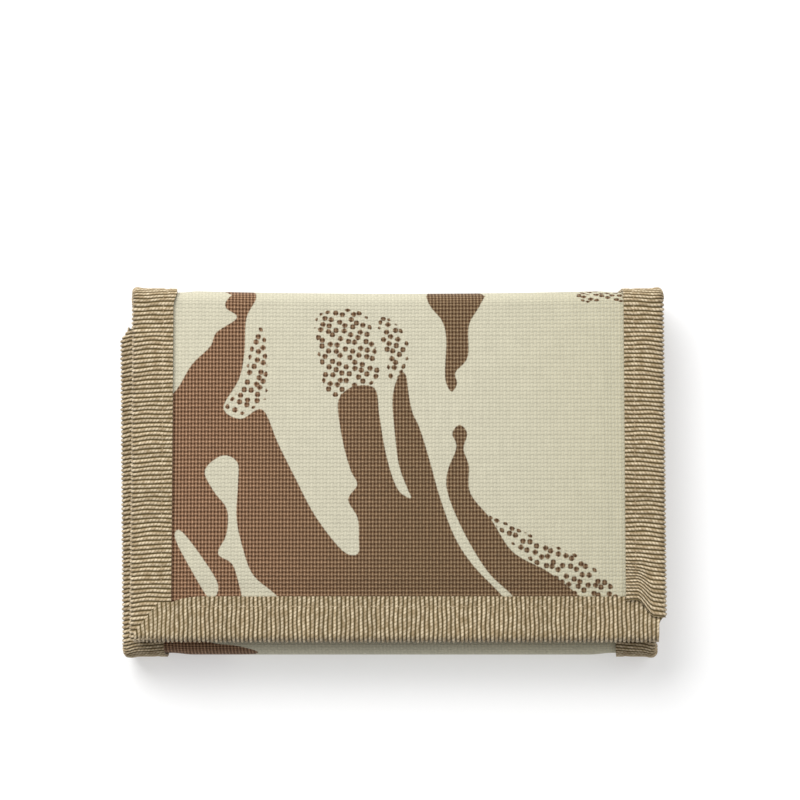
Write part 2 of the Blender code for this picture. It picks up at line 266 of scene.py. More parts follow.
brown_outlines = [closed_curve(outline) for outline in (brown_mass, brown_run, brown_wedge)]
sand_outlines = [closed_curve(outline) for outline in (sand_keyhole, sand_sliver)]
spot_outlines = [closed_curve(outline) for outline in spotted_areas]


def print_places(across, run):
    """The print's own x and y for places on the strip: mirrored past the top edge, then repeated."""
    past_top = run - flap_run
    y = (flap_corners[0][1] + run + PRINT_DROP) / PRINT_SCALE
    y = np.where(past_top > 0, PRINT_TOP - past_top, y)
    y = np.where(past_top > PRINT_REPEAT, PRINT_TOP - (past_top - PRINT_REPEAT), y)
    return across / PRINT_SCALE + PRINT_LEAN * np.clip(past_top, 0, PRINT_REPEAT), y


def print_marks(across, run):
    """How far each point is outside the brown, and its place in the print with how far it is outside
    the spotted areas. The cover's back, the later half of its points, isn't printed."""
    x, y = print_places(across, run)
    brown, sand, spotted = (
        np.min([edge_distance(x, y, outline) for outline in outlines], 0)
        for outlines in (brown_outlines, sand_outlines, spot_outlines)
    )
    foot = edge_distance(across, run - fold_runs[2], closed_curve(brown_foot))
    edge = np.minimum(np.maximum(brown, -sand), foot)
    back = np.arange(len(run)) >= len(run) // 2
    edge[back] = NOT_PRINTED
    spotted[back | (run - flap_run >= PRINT_REPEAT / 2)] = NOT_PRINTED
    place = np.stack([x, y, spotted], -1)
    return ("print_edge", "FLOAT", "value", edge), ("print_place", "FLOAT_VECTOR", "vector", place)


def closed_cloth(name, front, behind, flat, keep=None, marks=None):
    """A closed sheet between two grids of points in millimetres; flat is its places before folding,
    keep drops some of its faces, and marks gives values to store at those places."""
    rows, columns = front.shape[:2]
    count = rows * columns
    at = np.arange(count).reshape(rows, columns)
    quads = np.stack([at[:-1, :-1], at[:-1, 1:], at[1:, 1:], at[1:, :-1]], -1)
    quads = quads.reshape(-1, 4) if keep is None else quads[keep]
    starts, ends = quads.reshape(-1), np.roll(quads, -1, 1).reshape(-1)
    rim = ~np.isin(starts * count + ends, ends * count + starts)
    starts, ends = starts[rim], ends[rim]
    sides = np.stack([ends, starts, starts + count, ends + count], -1)
    faces = np.concatenate([quads, quads[:, ::-1] + count, sides])
    used, faces = np.unique(faces, return_inverse=True)
    points = np.concatenate([front.reshape(-1, 3), behind.reshape(-1, 3)])[used]
    places = np.concatenate([flat.reshape(-1, 2)] * 2)[used]
    mesh = bpy.data.meshes.new(name)
    mesh.from_pydata((points * MM).tolist(), [], faces.reshape(-1, 4).tolist())
    for mark, kind, field, values in marks(*places.T) if marks else ():
        stored = mesh.attributes.new(mark, kind, "POINT")
        stored.data.foreach_set(field, values.astype(np.float32).ravel())
    corners = np.zeros(len(mesh.loops), np.int32)
    mesh.loops.foreach_get("vertex_index", corners)
    layer = mesh.uv_layers.new(name="cloth_mm")
    layer.data.foreach_set("uv", places[corners].astype(np.float32).ravel())
    return finished_piece(name, mesh)


def finished_piece(name, mesh, sharp_above=50):
    """A smooth-shaded object of a closed mesh, its faces all turned outwards."""
    obj = bpy.data.objects.new(name, mesh)
    bpy.context.scene.collection.objects.link(obj)
    mesh.validate()
    corners = np.array([vert.co for vert in mesh.vertices])
    faces = np.array([tuple(face.vertices)[:3] for face in mesh.polygons])
    first, second, third = corners[faces[:, 0]], corners[faces[:, 1]], corners[faces[:, 2]]
    middle = corners.mean(0)
    volume = np.einsum("ij,ij->i", first - middle, np.cross(second - middle, third - middle)).sum()
    if volume < 0:
        mesh.flip_normals()
    mesh.polygons.foreach_set("use_smooth", [True] * len(mesh.polygons))
    mesh.set_sharp_from_angle(angle=math.radians(sharp_above))
    return obj


def feed(tree, socket, value):
    """A socket takes another socket's output or a plain value."""
    if isinstance(value, bpy.types.NodeSocket):
        tree.links.new(value, socket)
    else:
        socket.default_value = value


def add_node(tree, kind, sockets=(), **settings):
    """A node with its settings, and what each of its sockets takes; returns its outputs."""
    node = tree.nodes.new("ShaderNode" + kind)
    for setting, value in settings.items():
        setattr(node, setting, value)
    for socket, value in dict(sockets).items():
        feed(tree, node.inputs[socket], value)
    return node.outputs


def maths(tree, operation, *values):
    """One sum in a shader, of sockets and numbers."""
    return add_node(tree, "Math", enumerate(values), operation=operation)[0]


def ridges(tree, turns):
    """Round ridges, from 0 in the grooves to 1, one for each turn of pi."""
    return maths(tree, "ABSOLUTE", maths(tree, "SINE", turns))


def ramp(tree, value, low, high):
    """0 at low, 1 at high, smooth between; low may be the greater."""
    sockets = {"Value": value, "From Min": low, "From Max": high}
    return add_node(tree, "MapRange", sockets, interpolation_type="SMOOTHSTEP")["Result"]


def mixed(tree, share, *colours, blend="MIX"):
    """Two colours mixed; each is a socket or a colour."""
    first, second = ((*c, 1) if isinstance(c, tuple) else c for c in colours)
    sockets = {0: share, 6: first, 7: second}
    return add_node(tree, "Mix", sockets, data_type="RGBA", blend_type=blend)[2]


def shaded(tree, colour, shade):
    """A colour darkened by a shade from 0 to 1."""
    grey = add_node(tree, "CombineColor", {0: shade, 1: shade, 2: shade})["Color"]
    return mixed(tree, 1.0, colour, grey, blend="MULTIPLY")


def split(tree, vector):
    return add_node(tree, "SeparateXYZ", {0: vector})


def scaled(tree, vector, scale, lean=0.0):
    sockets = {"Vector": vector, "Scale": scale, "Rotation": (0.0, 0.0, lean)}
    return add_node(tree, "Mapping", sockets)["Vector"]


def cloudy(tree, vector, scale, detail=2.0, stretch=(1.0, 1.0, 1.0)):
    """Noise from 0 to 1 over a vector in millimetres."""
    sockets = {"Vector": scaled(tree, vector, stretch), "Scale": scale, "Detail": detail}
    return add_node(tree, "TexNoise", sockets)["Fac"]


def mottled(tree, scale, detail):
    """Noise through the piece itself, for those that have no flat cloth."""
    return cloudy(tree, add_node(tree, "TexCoord")["Object"], scale, detail)


def plain_weave():
    """Threads that pass over and under each other: their height, the painted shade in the gaps at
    their corners, which way the upper one runs, and their thicker and thinner stretches."""
    group = bpy.data.node_groups.new("plain weave", "ShaderNodeTree")
    for way, kind, names in (
        ("INPUT", "NodeSocketVector", ["Cloth"]),
        ("INPUT", "NodeSocketFloat", ["Thread across", "Thread along"]),
        ("OUTPUT", "NodeSocketFloat", ["Height", "Gap shade", "Warp", "Slub"]),
    ):
        for name in names:
            group.interface.new_socket(name, in_out=way, socket_type=kind)
    given = group.nodes.new("NodeGroupInput").outputs
    made = group.nodes.new("NodeGroupOutput").inputs
    parts = split(group, given["Cloth"])
    waves = []
    for axis, pitch in (("X", "Thread across"), ("Y", "Thread along")):
        turns = maths(group, "DIVIDE", parts[axis], given[pitch])
        waves.append(maths(group, "SINE", maths(group, "MULTIPLY", turns, math.pi)))
    over = maths(group, "MULTIPLY", *waves)
    rounds = [maths(group, "ABSOLUTE", wave) for wave in waves]
    threads = [
        maths(group, "MULTIPLY", side, maths(group, "MULTIPLY_ADD", over, sway, 0.58))
        for side, sway in zip(rounds, (0.42, -0.42))
    ]
    group.links.new(maths(group, "MAXIMUM", *threads), made["Height"])
    holes = [maths(group, "SUBTRACT", 1.0, side) for side in rounds]
    corner = maths(group, "MULTIPLY", holes[0], maths(group, "POWER", holes[1], 0.75))
    # Gap shade is painted shade, darkest in the holes at the threads' corners
    group.links.new(ramp(group, corner, 0.05, 0.42), made["Gap shade"])
    group.links.new(ramp(group, over, -0.25, 0.25), made["Warp"])
    streaks = [
        cloudy(group, given["Cloth"], 1.0, 1.0, stretch)
        for stretch in ((1.25, 0.12, 1.0), (0.12, 1.05, 1.0))
    ]
    slub = maths(group, "MULTIPLY", maths(group, "ADD", *streaks), 0.5)
    group.links.new(slub, made["Slub"])
    return group


weave_group = plain_weave()


def new_finish(name, roughness, sheen=0.0):
    """A material with its tree, shader and the cloth's flat places."""
    made = bpy.data.materials.new(name)
    made.use_nodes = True
    tree = made.node_tree
    shader = tree.nodes["Principled BSDF"]
    shader.inputs["Roughness"].default_value = roughness
    shader.inputs["Sheen Weight"].default_value = sheen
    shader.inputs["Sheen Roughness"].default_value = 0.5
    shader.inputs["Specular IOR Level"].default_value = 0.25
    return made, tree, shader, add_node(tree, "UVMap", uv_map="cloth_mm")["UV"]


def add_weave(tree, cloth, threads):
    sockets = {"Cloth": cloth, "Thread across": threads[0], "Thread along": threads[1]}
    return add_node(tree, "Group", sockets, node_tree=weave_group)


def surface(tree, shader, colour, height, depth_mm):
    """Gives a finish its colour and its fine relief."""
    feed(tree, shader.inputs["Base Color"], colour)
    bump = add_node(tree, "Bump", {"Distance": depth_mm * MM, "Height": height})
    tree.links.new(bump["Normal"], shader.inputs["Normal"])


def stored_mark(tree, name):
    return add_node(tree, "Attribute", attribute_name=name)


def print_spots(tree):
    """How far each place is outside the nearest printed spot, in millimetres."""
    place = stored_mark(tree, "print_place")["Vector"]
    rows = scaled(tree, place, [1 / SPOT_PITCH] * 3, SPOT_LEAN)
    sockets = {"Scale": 1.0, "Randomness": SPOT_SCATTER, "Vector": rows}
    scattered = add_node(tree, "TexVoronoi", sockets, voronoi_dimensions="2D")
    within = ramp(tree, split(tree, place)["Z"], 0.6, -0.5)
    radius = maths(tree, "MULTIPLY_ADD", within, SPOT_RADIUS - NO_SPOT, NO_SPOT)
    from_middle = maths(tree, "MULTIPLY", scattered["Distance"], SPOT_PITCH)
    return maths(tree, "SUBTRACT", from_middle, radius)


def camouflage_canvas():
    """Sand ground and brown print. The brown's raised thread crowns carry a painted highlight, and
    it is redder at the left; the sand yellows at the right; both darken towards the right in painted
    shade; the gaps between threads carry painted shade; each thread's own thickness shows a little."""
    made, tree, shader, cloth = new_finish("camouflage canvas", 0.9, 0.1)
    weave = add_weave(tree, cloth, CANVAS_THREADS)
    spots = print_spots(tree)
    nearest = maths(tree, "MINIMUM", stored_mark(tree, "print_edge")["Fac"], spots)
    ragged = maths(tree, "MULTIPLY_ADD", weave["Height"], 0.12, nearest)
    in_brown = ramp(tree, ragged, 0.24, -0.1)
    in_spot = ramp(tree, spots, 0.1, -0.35)
    across = split(tree, cloth)["X"]
    # Painted shade: the brown darkens towards the right as the light falls from the upper left, and
    # loses red
    rightward_shade_and_hue = ramp(tree, across, -55.0, 10.0)
    brown = mixed(tree, rightward_shade_and_hue, (0.208, 0.112, 0.06), (0.15, 0.094, 0.047))
    # Painted highlight: the brown's raised thread crowns are coloured lighter, as if lit
    painted_crown_highlight = mixed(tree, rightward_shade_and_hue, (0.47, 0.295, 0.185), (0.345, 0.24, 0.145))
    brown = mixed(tree, ramp(tree, weave["Height"], 0.74, 1.0), brown, painted_crown_highlight)
    brown = mixed(tree, maths(tree, "MULTIPLY", in_spot, 0.45), brown, (0.11, 0.058, 0.026))
    # Painted shade in the gaps between the brown threads
    brown = mixed(tree, weave["Gap shade"], brown, (0.05, 0.019, 0.005))
    sand = mixed(tree, cloudy(tree, cloth, 0.035), (0.55, 0.522, 0.405), (0.53, 0.495, 0.37))
    # Painted shade: the sand darkens towards the right, and yellows there
    far_right_shade_and_yellow = maths(tree, "MULTIPLY", ramp(tree, across, 0.0, 60.0), 0.5)
    sand = mixed(tree, far_right_shade_and_yellow, sand, (0.47, 0.435, 0.29))
    # Painted shade in the gaps between the sand threads
    sand = mixed(tree, weave["Gap shade"], sand, (0.48, 0.458, 0.345))
    shade = maths(tree, "MULTIPLY_ADD", weave["Slub"], 0.3, 0.82)
    shade = maths(tree, "MULTIPLY_ADD", weave["Warp"], 0.05, shade)
    uneven = maths(tree, "SUBTRACT", cloudy(tree, cloth, 1.25, 1.0), 0.5)
    fuzz = maths(tree, "MULTIPLY", uneven, maths(tree, "MULTIPLY_ADD", in_brown, 0.5, 0.12))
    colour = shaded(tree, mixed(tree, in_brown, sand, brown), maths(tree, "ADD", shade, fuzz))
    surface(tree, shader, colour, weave["Height"], 0.14)
    return made


def evenly(low, high, pitch):
    """Places from low to high, about a pitch apart."""
    return np.linspace(low, high, round((high - low) / pitch) + 1)


def middles(grid):
    """The middle of each face of a grid."""
    return (grid[1:, 1:] + grid[:-1, :-1]) / 2


canvas = camouflage_canvas()
cover_half = strip_half - COVER_INSET
cover_nodes = {
    "flap": ("cover_flap", "cover_top_fold"),
    "top": ("cover_top_fold", "cover_back"),
    "bottom": ("cover_back", "cover_bottom_fold"),
    "inner": ("cover_bottom_fold", "cover_inner"),
}
slit_low, slit_high = corners_of("zip_row_lower")[0], corners_of("zip_row_upper")[1]
SLIT_MARGIN, SLIT_PAST = 1.1, 4.0
zip_middle = (slit_low[1] + slit_high[1]) / 2
zip_run = fold_runs[3] + fold_y + zip_middle
zip_half = (slit_high[0] - slit_low[0]) / 2
slit_half = (slit_high[1] - slit_low[1]) / 2 + SLIT_MARGIN

for part in strip_parts:
    pitch = COVER_PITCH if part == "flap" else HIDDEN_PITCH
    runs = evenly(*part_runs(part, COVER_INSET, COVER_INSET), pitch)
    if part == "inner":
        borders = [zip_run - slit_half, zip_run + slit_half]
        clear = np.abs(runs[:, None] - borders).min(1) > LEAST_ROW
        runs = np.unique(np.concatenate([runs[clear], borders]))
    run, across = np.meshgrid(runs, evenly(-cover_half, cover_half, pitch), indexing="ij")
    from_end = np.minimum(run, strip_run - run)
    inward = np.minimum(strip_half - np.abs(across), from_end) - TAPE_REACH
    puff = COVER_PUFF * eased(inward, 0.0, PUFF_REACH)
    across = across * (1 - CORNER_DRAW * (1 - eased(from_end, 0.0, CORNER_DRAW_REACH)))
    keep = None
    if part == "inner":
        beside_slit = abs(middles(run) - zip_run) > slit_half
        keep = beside_slit | (abs(middles(across)) > zip_half + SLIT_PAST)
    cover = closed_cloth(
        f"camouflage_cover_{part}",
        strip_point(across, run, COVER_DEPTHS[0] - puff),
        strip_point(across, run, COVER_DEPTHS[1] - puff),
        np.stack([across, run], -1),
        keep,
        print_marks,
    )
    cover.data.materials.append(canvas)
    fold_with(cover)
    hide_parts(*cover_nodes[part])


# Binding tape. Ribbed grosgrain tape is folded round the raw edges and sewn through: one length down
# each side of the strip, and one across each free end. Its ribs run across it, so that the folded
# edge looks serrated, and each line of stitches pulls it down a little.

TAPE_THICK = 0.5
RIB_PITCH, RIB_HEIGHT, EDGE_RIB_HEIGHT = 1.04, 0.26, 0.5
STITCH_FROM_TIP, STITCH_DIP, DIP_WIDTH = 2.4, 0.16, 0.45
TURN_REACH = 1.4
LEG_STEPS, TURN_STEPS = 12, 9
ROW_STEPS = 2 * LEG_STEPS + TURN_STEPS
UNDER_LEG = LEG_STEPS + TURN_STEPS
UNDER_COVER, UNDER_LINING, UNDER_INNER = 2.05, 2.85, 4.95
STRAND_PITCH = 0.84
EDGE_VARIATION = 0.3
# How far the ribs wander off true, as waves of (size, per mm along, per mm across)
RIB_WANDER = ((0.08, 0.31, 0.45), (0.05, 0.83, -0.9))


def rib_height(phase):
    """Round ribs with grooves between them, from -1/2 to 1/2."""
    return np.abs(np.sin(phase / RIB_PITCH * math.pi)) - 0.5


def rib_steps(first, last, to_a_rib=6):
    """Places along a tape, so many to a rib, with one in each groove."""
    step = RIB_PITCH / to_a_rib
    between = np.arange(math.ceil(first / step + 0.4), math.floor(last / step - 0.4) + 1) * step
    return np.concatenate([[first], between, [last]])


def tape_piece(name, runs, under, reach, place, lean, lift, cut=0.0, pull=0.0):
    """Tape folded round an edge. place turns (run, distance in from the edge, depth) into points, lean
    says how far a rib has slid along the tape at each distance, and lift how far it rides up. cut
    moves the tape's ends across its ribs, and pull moves them with its ribs."""
    run = np.asarray(runs, float)[:, None]
    under, reach = (np.broadcast_to(value, (len(run), 1)) for value in (under, reach))
    leg = np.linspace(1, 0, LEG_STEPS)[None, :]
    turn = np.linspace(0, math.pi, TURN_STEPS + 2)[None, 1:-1] + 0 * under
    half = TAPE_THICK / 2
    straight = TURN_REACH + half
    leg_in = straight + (reach - straight) * leg
    inward = np.concatenate([leg_in, straight - TURN_REACH * np.sin(turn), leg_in[:, ::-1]], 1)
    turn_depth = half + (under - half) * (1 - np.cos(turn)) / 2
    ones = np.ones_like(leg_in)
    depth = np.concatenate([half * ones, turn_depth, under * ones], 1)
    normal_in = np.concatenate([0 * ones, -np.sin(turn), 0 * ones], 1)
    normal_depth = np.concatenate([-ones, -np.cos(turn), ones], 1)
    phase = run + 0 * inward + cut
    on_top = 0.5 - 0.5 * normal_depth
    wander = sum(size * np.sin(phase * a + inward * b) for size, a, b in RIB_WANDER)
    run = phase + pull - wander - on_top * lean(phase, inward)
    depth = depth - np.where(on_top > 0.75, lift(run, inward), 0.0)
    from_stitches = (reach - STITCH_FROM_TIP - inward) / DIP_WIDTH
    dip = STITCH_DIP * np.exp(-(from_stitches**2)) * (abs(normal_in) < 0.5)
    uneven = 1 + EDGE_VARIATION * np.sin(phase * 2.3) * np.sin(phase * 0.71 + 1.0)
    rib = RIB_HEIGHT + (EDGE_RIB_HEIGHT * uneven - RIB_HEIGHT) * np.abs(normal_in)
    out = half + rib * rib_height(phase) - dip
    front = place(run, inward + normal_in * out, depth + normal_depth * out)
    behind = place(run, inward - normal_in * half, depth - normal_depth * half)
    along = np.cumsum(np.hypot(np.diff(inward, axis=1), np.diff(depth, axis=1)), 1)
    along = np.concatenate([0 * along[:, :1], along], 1)
    return closed_cloth(name, front, behind, np.stack([along, phase], -1))


def grosgrain():
    """Ribs with painted shade in the groove between them, crossed by fine strands with painted shade
    between them; each rib a little different.
    """
    made, tree, shader, cloth = new_finish("ribbed binding tape", 0.72, 0.15)
    parts = split(tree, cloth)
    turns = maths(tree, "MULTIPLY", parts["Y"], math.pi / RIB_PITCH)
    ridge = ridges(tree, turns)
    across = maths(tree, "MULTIPLY", parts["X"], math.pi / STRAND_PITCH)
    strand = ramp(tree, ridges(tree, maths(tree, "MULTIPLY_ADD", turns, 0.6, across)), 0.1, 0.8)
    uneven = ramp(tree, cloudy(tree, cloth, 1.0, 2.0, (0.62, 0.95, 1.0)), 0.36, 0.64)
    rib = mixed(tree, uneven, (0.39, 0.295, 0.175), (0.66, 0.545, 0.375))
    # Painted shade between the twisted strands on each rib
    between = maths(tree, "MULTIPLY_ADD", strand, -0.62, 0.62)
    rib = mixed(tree, between, rib, (0.22, 0.152, 0.072))
    each_rib = cloudy(tree, cloth, 1.0, 1.0, (0.06, 0.9, 1.0))
    rib = shaded(tree, rib, maths(tree, "MULTIPLY_ADD", each_rib, 0.7, 0.66))
    # Painted shade in the grooves between the ribs
    colour = mixed(tree, ramp(tree, ridge, 0.97, 0.22), rib, (0.108, 0.075, 0.022))
    height = maths(tree, "MULTIPLY_ADD", strand, 0.35, maths(tree, "MULTIPLY", ridge, 0.4))
    surface(tree, shader, colour, height, 0.12)
    return made


binding = grosgrain()
LEFT_REACH, RIGHT_REACH, LEFT_FLARE = 9.7, 9.6, 0.9
LEFT_START, INNER_CLEAR = 0.6, 0.4
RIB_BOW, BOW_WIDTH, FOLD_LEAN = 0.55, 6.0, 0.1
CORNER_END, CORNER_SLANT, SLANT_ACROSS = 9.6, 3.6, (1.6, 6.4)
RIDE_OVER, FLAP_RIDE, INNER_RIDE, EDGE_RIDE = 0.55, (12.0, 16.0), (15.0, 11.5), (-53.5, -51.5)
END_TUCK, TUCK_LENGTH = 1.9, 3.4
UNDER_END_GAP, CORNER_PULL, END_PULL = 0.3, 16.0, 30.0


def side_reach(side, run):
    """The left tape lies a little wider where it rounds the top fold."""
    flare = LEFT_FLARE * over_fold(run, 0, 5, 6)
    return LEFT_REACH + flare if side < 0 else RIGHT_REACH + 0 * run


def side_under(side, run):
    """How deep the inside leg lies: under the cover at the left, under the lining at the right."""
    on_inner = eased(run, fold_runs[3] + FOLD_RADIUS, fold_runs[3] + FOLD_RADIUS + 4)
    deeper = UNDER_LINING + (UNDER_INNER - UNDER_LINING) * on_inner
    return UNDER_COVER + 0 * run if side < 0 else deeper


def side_lean(run, inward):
    """Ribs bow: their outer ends trail behind, and more so where the tape rounds the top fold."""
    at_fold = eased(run, fold_runs[0] - 6, fold_runs[0] + 2)
    return RIB_BOW * np.clip(1 - inward / BOW_WIDTH, 0, 1) ** 2 - FOLD_LEAN * at_fold * inward


def flap_corner_run(inward):
    """Where the right tape's folded-under end lies at each distance in from the flap's edge."""
    return CORNER_END - CORNER_SLANT * (1 - eased(inward, *SLANT_ACROSS))


for side, word in ((-1, "left"), (1, "right")):

    def on_side(run, inward, depth, side=side):
        """The tape's own end on the inner panel is tucked in."""
        tuck = END_TUCK * eased(run, strip_run - TUCK_LENGTH, strip_run)
        return strip_point(side * (strip_half - inward - tuck), run, depth)

    def corner_lift(run, inward, side=side):
        """The ends ride up over the edge tapes, but for the left one on the flap."""
        on_flap = 1 - eased(run, *FLAP_RIDE) if side > 0 else 0.0
        return RIDE_OVER * (on_flap + eased(run, *(strip_run - clear for clear in INNER_RIDE)))

    for part in strip_parts:
        start = LEFT_START if side < 0 else flap_corner_run(0.0)
        first, last = part_runs(part, start, INNER_CLEAR)
        runs = rib_steps(first, last)
        under, reach = side_under(side, runs), side_reach(side, runs)
        pull = np.zeros(ROW_STEPS)
        if part == "flap" and side > 0:
            pull[:LEG_STEPS] = flap_corner_run(reach[0] * np.linspace(1, 0, LEG_STEPS)) - first
            pull[UNDER_LEG:] = TAPE_REACH + UNDER_END_GAP - first
            pull = pull * (1 - eased(runs, first, first + CORNER_PULL))[:, None]
        if part == "inner":
            pull[UNDER_LEG:] = strip_run - TAPE_REACH - UNDER_END_GAP - last
            pull = pull * eased(runs, last - END_PULL, last)[:, None]
        tape = tape_piece(
            f"{word}_binding_{part}", runs, under[:, None], reach[:, None],
            on_side, side_lean, corner_lift, pull=pull,
        )
        tape.data.materials.append(binding)
        fold_with(tape)
        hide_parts(*(node.replace("cover", f"{word}_tape") for node in cover_nodes[part]))


EDGE_TAPE_REACH = 10.6
EDGE_FIRST, EDGE_LAST, EDGE_MARGIN = -63.3, 62.1, 1.6
MITRE, MITRE_LENGTH = 6.4, 14.0
NOTCH, NOTCH_LENGTH = 1.2, 6.0
LEFT_NARROWING, NARROWING_RUNS = 1.4, (-60.0, -46.0)
RIGHT_FAN, LEFT_FAN, FAN_START = 0.05, 0.08, (55.0, -54.0)


def inner_edge(run, inward, depth):
    return strip_point(run, strip_run - inward, depth)


def unmoved(run, inward):
    return 0 * run


def flap_edge_lean(run, inward):
    """The ribs fan out where the tape is pulled round the corners."""
    low = np.clip(1 - inward / EDGE_TAPE_REACH, 0, 1)
    right = RIGHT_FAN * np.clip(run - FAN_START[0], 0, None) * low
    return right - LEFT_FAN * np.clip(FAN_START[1] - run, 0, None) * low


def flap_edge_lift(run, inward):
    """Its left end rides over the left tape, whose own end it covers."""
    return RIDE_OVER * (1 - eased(run, *EDGE_RIDE))


runs = rib_steps(EDGE_FIRST, EDGE_LAST, 8)
leg_in = EDGE_TAPE_REACH * np.linspace(1, 0, LEG_STEPS)
mitre, notch = np.zeros((2, ROW_STEPS))
mitre[:LEG_STEPS] = MITRE * leg_in / EDGE_TAPE_REACH
notch[:LEG_STEPS] = NOTCH * eased(leg_in, 3.0, 5.6)
cut = mitre * (1 - eased(runs, EDGE_FIRST, EDGE_FIRST + MITRE_LENGTH))[:, None]
cut = cut + notch * eased(runs, EDGE_LAST - NOTCH_LENGTH, EDGE_LAST)[:, None]
reach = EDGE_TAPE_REACH - LEFT_NARROWING * (1 - eased(runs, *NARROWING_RUNS))[:, None]
flap_tape = tape_piece(
    "flap_edge_binding", runs, UNDER_LINING, reach, strip_point, flap_edge_lean, flap_edge_lift, cut
)
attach(flap_tape, "flap")
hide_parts("flap_edge_tape")
runs = rib_steps(EDGE_MARGIN - strip_half, strip_half - EDGE_MARGIN)
inner_tape = tape_piece(
    "inner_edge_binding", runs, UNDER_INNER, TAPE_REACH, inner_edge, unmoved, unmoved
)
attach(inner_tape, "inner")
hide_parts("inner_edge_tape")
for tape in (flap_tape, inner_tape):
    tape.data.materials.append(binding)


# Stitching. Doubled polyester thread holds the binding, pockets and patches: lock stitches, each a
# short raised run of thread that dives into the cloth at both ends.

STITCH_PITCH, STITCH_LENGTH, THREAD_RADIUS, STITCH_SINK = 3.1, 2.5, 0.14, 0.4
FIRST_STITCH, STITCH_SLEW, THIN_END, THREAD_SWELL, THREAD_RISE = 0.4, 0.07, 0.35, 2.2, 1.8
RING_STEPS, RING_SIDES = 7, 6
sewing_dice = np.random.default_rng(11)


def thread_faces(count, steps, sides):
    """The faces of so many closed threads, whose points come thread by thread and ring by ring."""
    faces = []
    for base in range(0, count * steps * sides, steps * sides):
        for ring in range(base, base + (steps - 1) * sides, sides):
            for side in range(sides):
                here, beside = ring + side, ring + (side + 1) % sides
                faces.append((here, beside, beside + sides, here + sides))
        faces.append(tuple(range(base + sides - 1, base - 1, -1)))
        faces.append(tuple(range(base + (steps - 1) * sides, base + steps * sides)))
    return faces


def seams(depth, raised, *lines):
    """Stitch lines at one depth, each (across, run, across, run) from its start to its stop. raised
    is 1 where the thread stands towards lower depth, and -1 where it stands towards higher."""
    return [((x, y, depth), (end_x, end_y, depth), raised) for x, y, end_x, end_y in lines]


def stitches(name, lines, surface_at):
    """Threads sewn along seams, whose places surface_at turns into points."""
    share = np.arange(RING_STEPS)[:, None] / (RING_STEPS - 1)
    arch = np.sin(share * math.pi)
    radius = THREAD_RADIUS * (THIN_END + (1 - THIN_END) * np.minimum(1.0, THREAD_SWELL * arch))
    turns = np.arange(RING_SIDES)[:, None] * 2 * math.pi / RING_SIDES
    rings = []
    for start, stop, raised in lines:
        start, stop = np.array(start, float), np.array(stop, float)
        length = np.linalg.norm(stop - start)
        ahead = (stop - start) / length
        aside = np.array([-ahead[1], ahead[0], 0.0])
        circle = aside * np.cos(turns) + np.array([0.0, 0.0, 1.0]) * np.sin(turns)
        for begin in np.arange(FIRST_STITCH, length - STITCH_LENGTH, STITCH_PITCH):
            slew = sewing_dice.uniform(-STITCH_SLEW, STITCH_SLEW)
            centre = start + ahead * (begin + share * STITCH_LENGTH) + aside * slew * (share * 2 - 1)
            centre[:, 2:] -= raised * STITCH_SINK * (np.minimum(1.0, THREAD_RISE * arch) - 1.0)
            rings.append(centre[:, None] + radius[:, None] * circle)
    places = np.array(rings).reshape(-1, 3)
    mesh = bpy.data.meshes.new(name)
    points = surface_at(*places.T) * MM
    mesh.from_pydata(points.tolist(), [], thread_faces(len(rings), RING_STEPS, RING_SIDES))
    mesh.uv_layers.new(name="cloth_mm")
    mesh.materials.append(sewing_thread)
    return finished_piece(name, mesh, 80)


def mottled_finish(name, roughness, sheen, grain, dark, light, relief_mm):
    """Dyed thread, pile or plastic, its lighter patches raised; grain is their scale and detail."""
    made, tree, shader, _ = new_finish(name, roughness, sheen)
    patches = mottled(tree, *grain)
    surface(tree, shader, mixed(tree, patches, dark, light), patches, relief_mm)
    return made


sewing_thread = mottled_finish(
    "tan sewing thread", 0.6, 0.1, (1400.0, 1.0), (0.26, 0.19, 0.105), (0.42, 0.33, 0.205), 0.05
)
TAPE_FACE, PAST_TAPE, EDGE_SEAM_HALF = 0.2, 2.0, 51.0
for part in strip_parts:
    first, last = part_runs(part, TAPE_REACH + PAST_TAPE, TAPE_REACH + PAST_TAPE)
    lines = []
    for side in (-1, 1):
        reach = LEFT_REACH if side < 0 else RIGHT_REACH
        row = side * (strip_half - reach + STITCH_FROM_TIP)
        under = (UNDER_COVER if side < 0 else UNDER_LINING) + TAPE_THICK / 2
        lines += seams(TAPE_FACE, 1, (row, first, row, last))
        if part != "inner":
            lines += seams(under, -1, (row, first, row, last))
    sewn = stitches(f"binding_stitches_{part}", lines, strip_point)
    fold_with(sewn)

for word, row, under in (
    ("flap", EDGE_TAPE_REACH - STITCH_FROM_TIP, UNDER_LINING),
    ("inner", strip_run - TAPE_REACH + STITCH_FROM_TIP, UNDER_INNER),
):
    line = (-EDGE_SEAM_HALF, row, EDGE_SEAM_HALF, row)
    lines = seams(TAPE_FACE, 1, line) + seams(under + TAPE_THICK / 2, -1, line)
    sewn = stitches(f"{word}_edge_stitches", lines, strip_point)
    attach(sewn, word)


# Lining. Fine tan nylon backs the whole strip under the same binding. It is free of the cover along
# the left edge, which is the way into the full-length note pocket.

LINING_DEPTHS, LINING_PITCH, LINING_COLUMNS = (1.8, 2.3), 1.2, 90
LINING_CLEAR, LINING_INSET, LINING_DROP = 0.6, 1.0, 5.0
NYLON_THREADS = (0.34, 0.36)
inner_lining_depth = inner_top - corners_of("lining_inner")[1][2]
lining_left = LEFT_REACH + LINING_CLEAR - strip_half


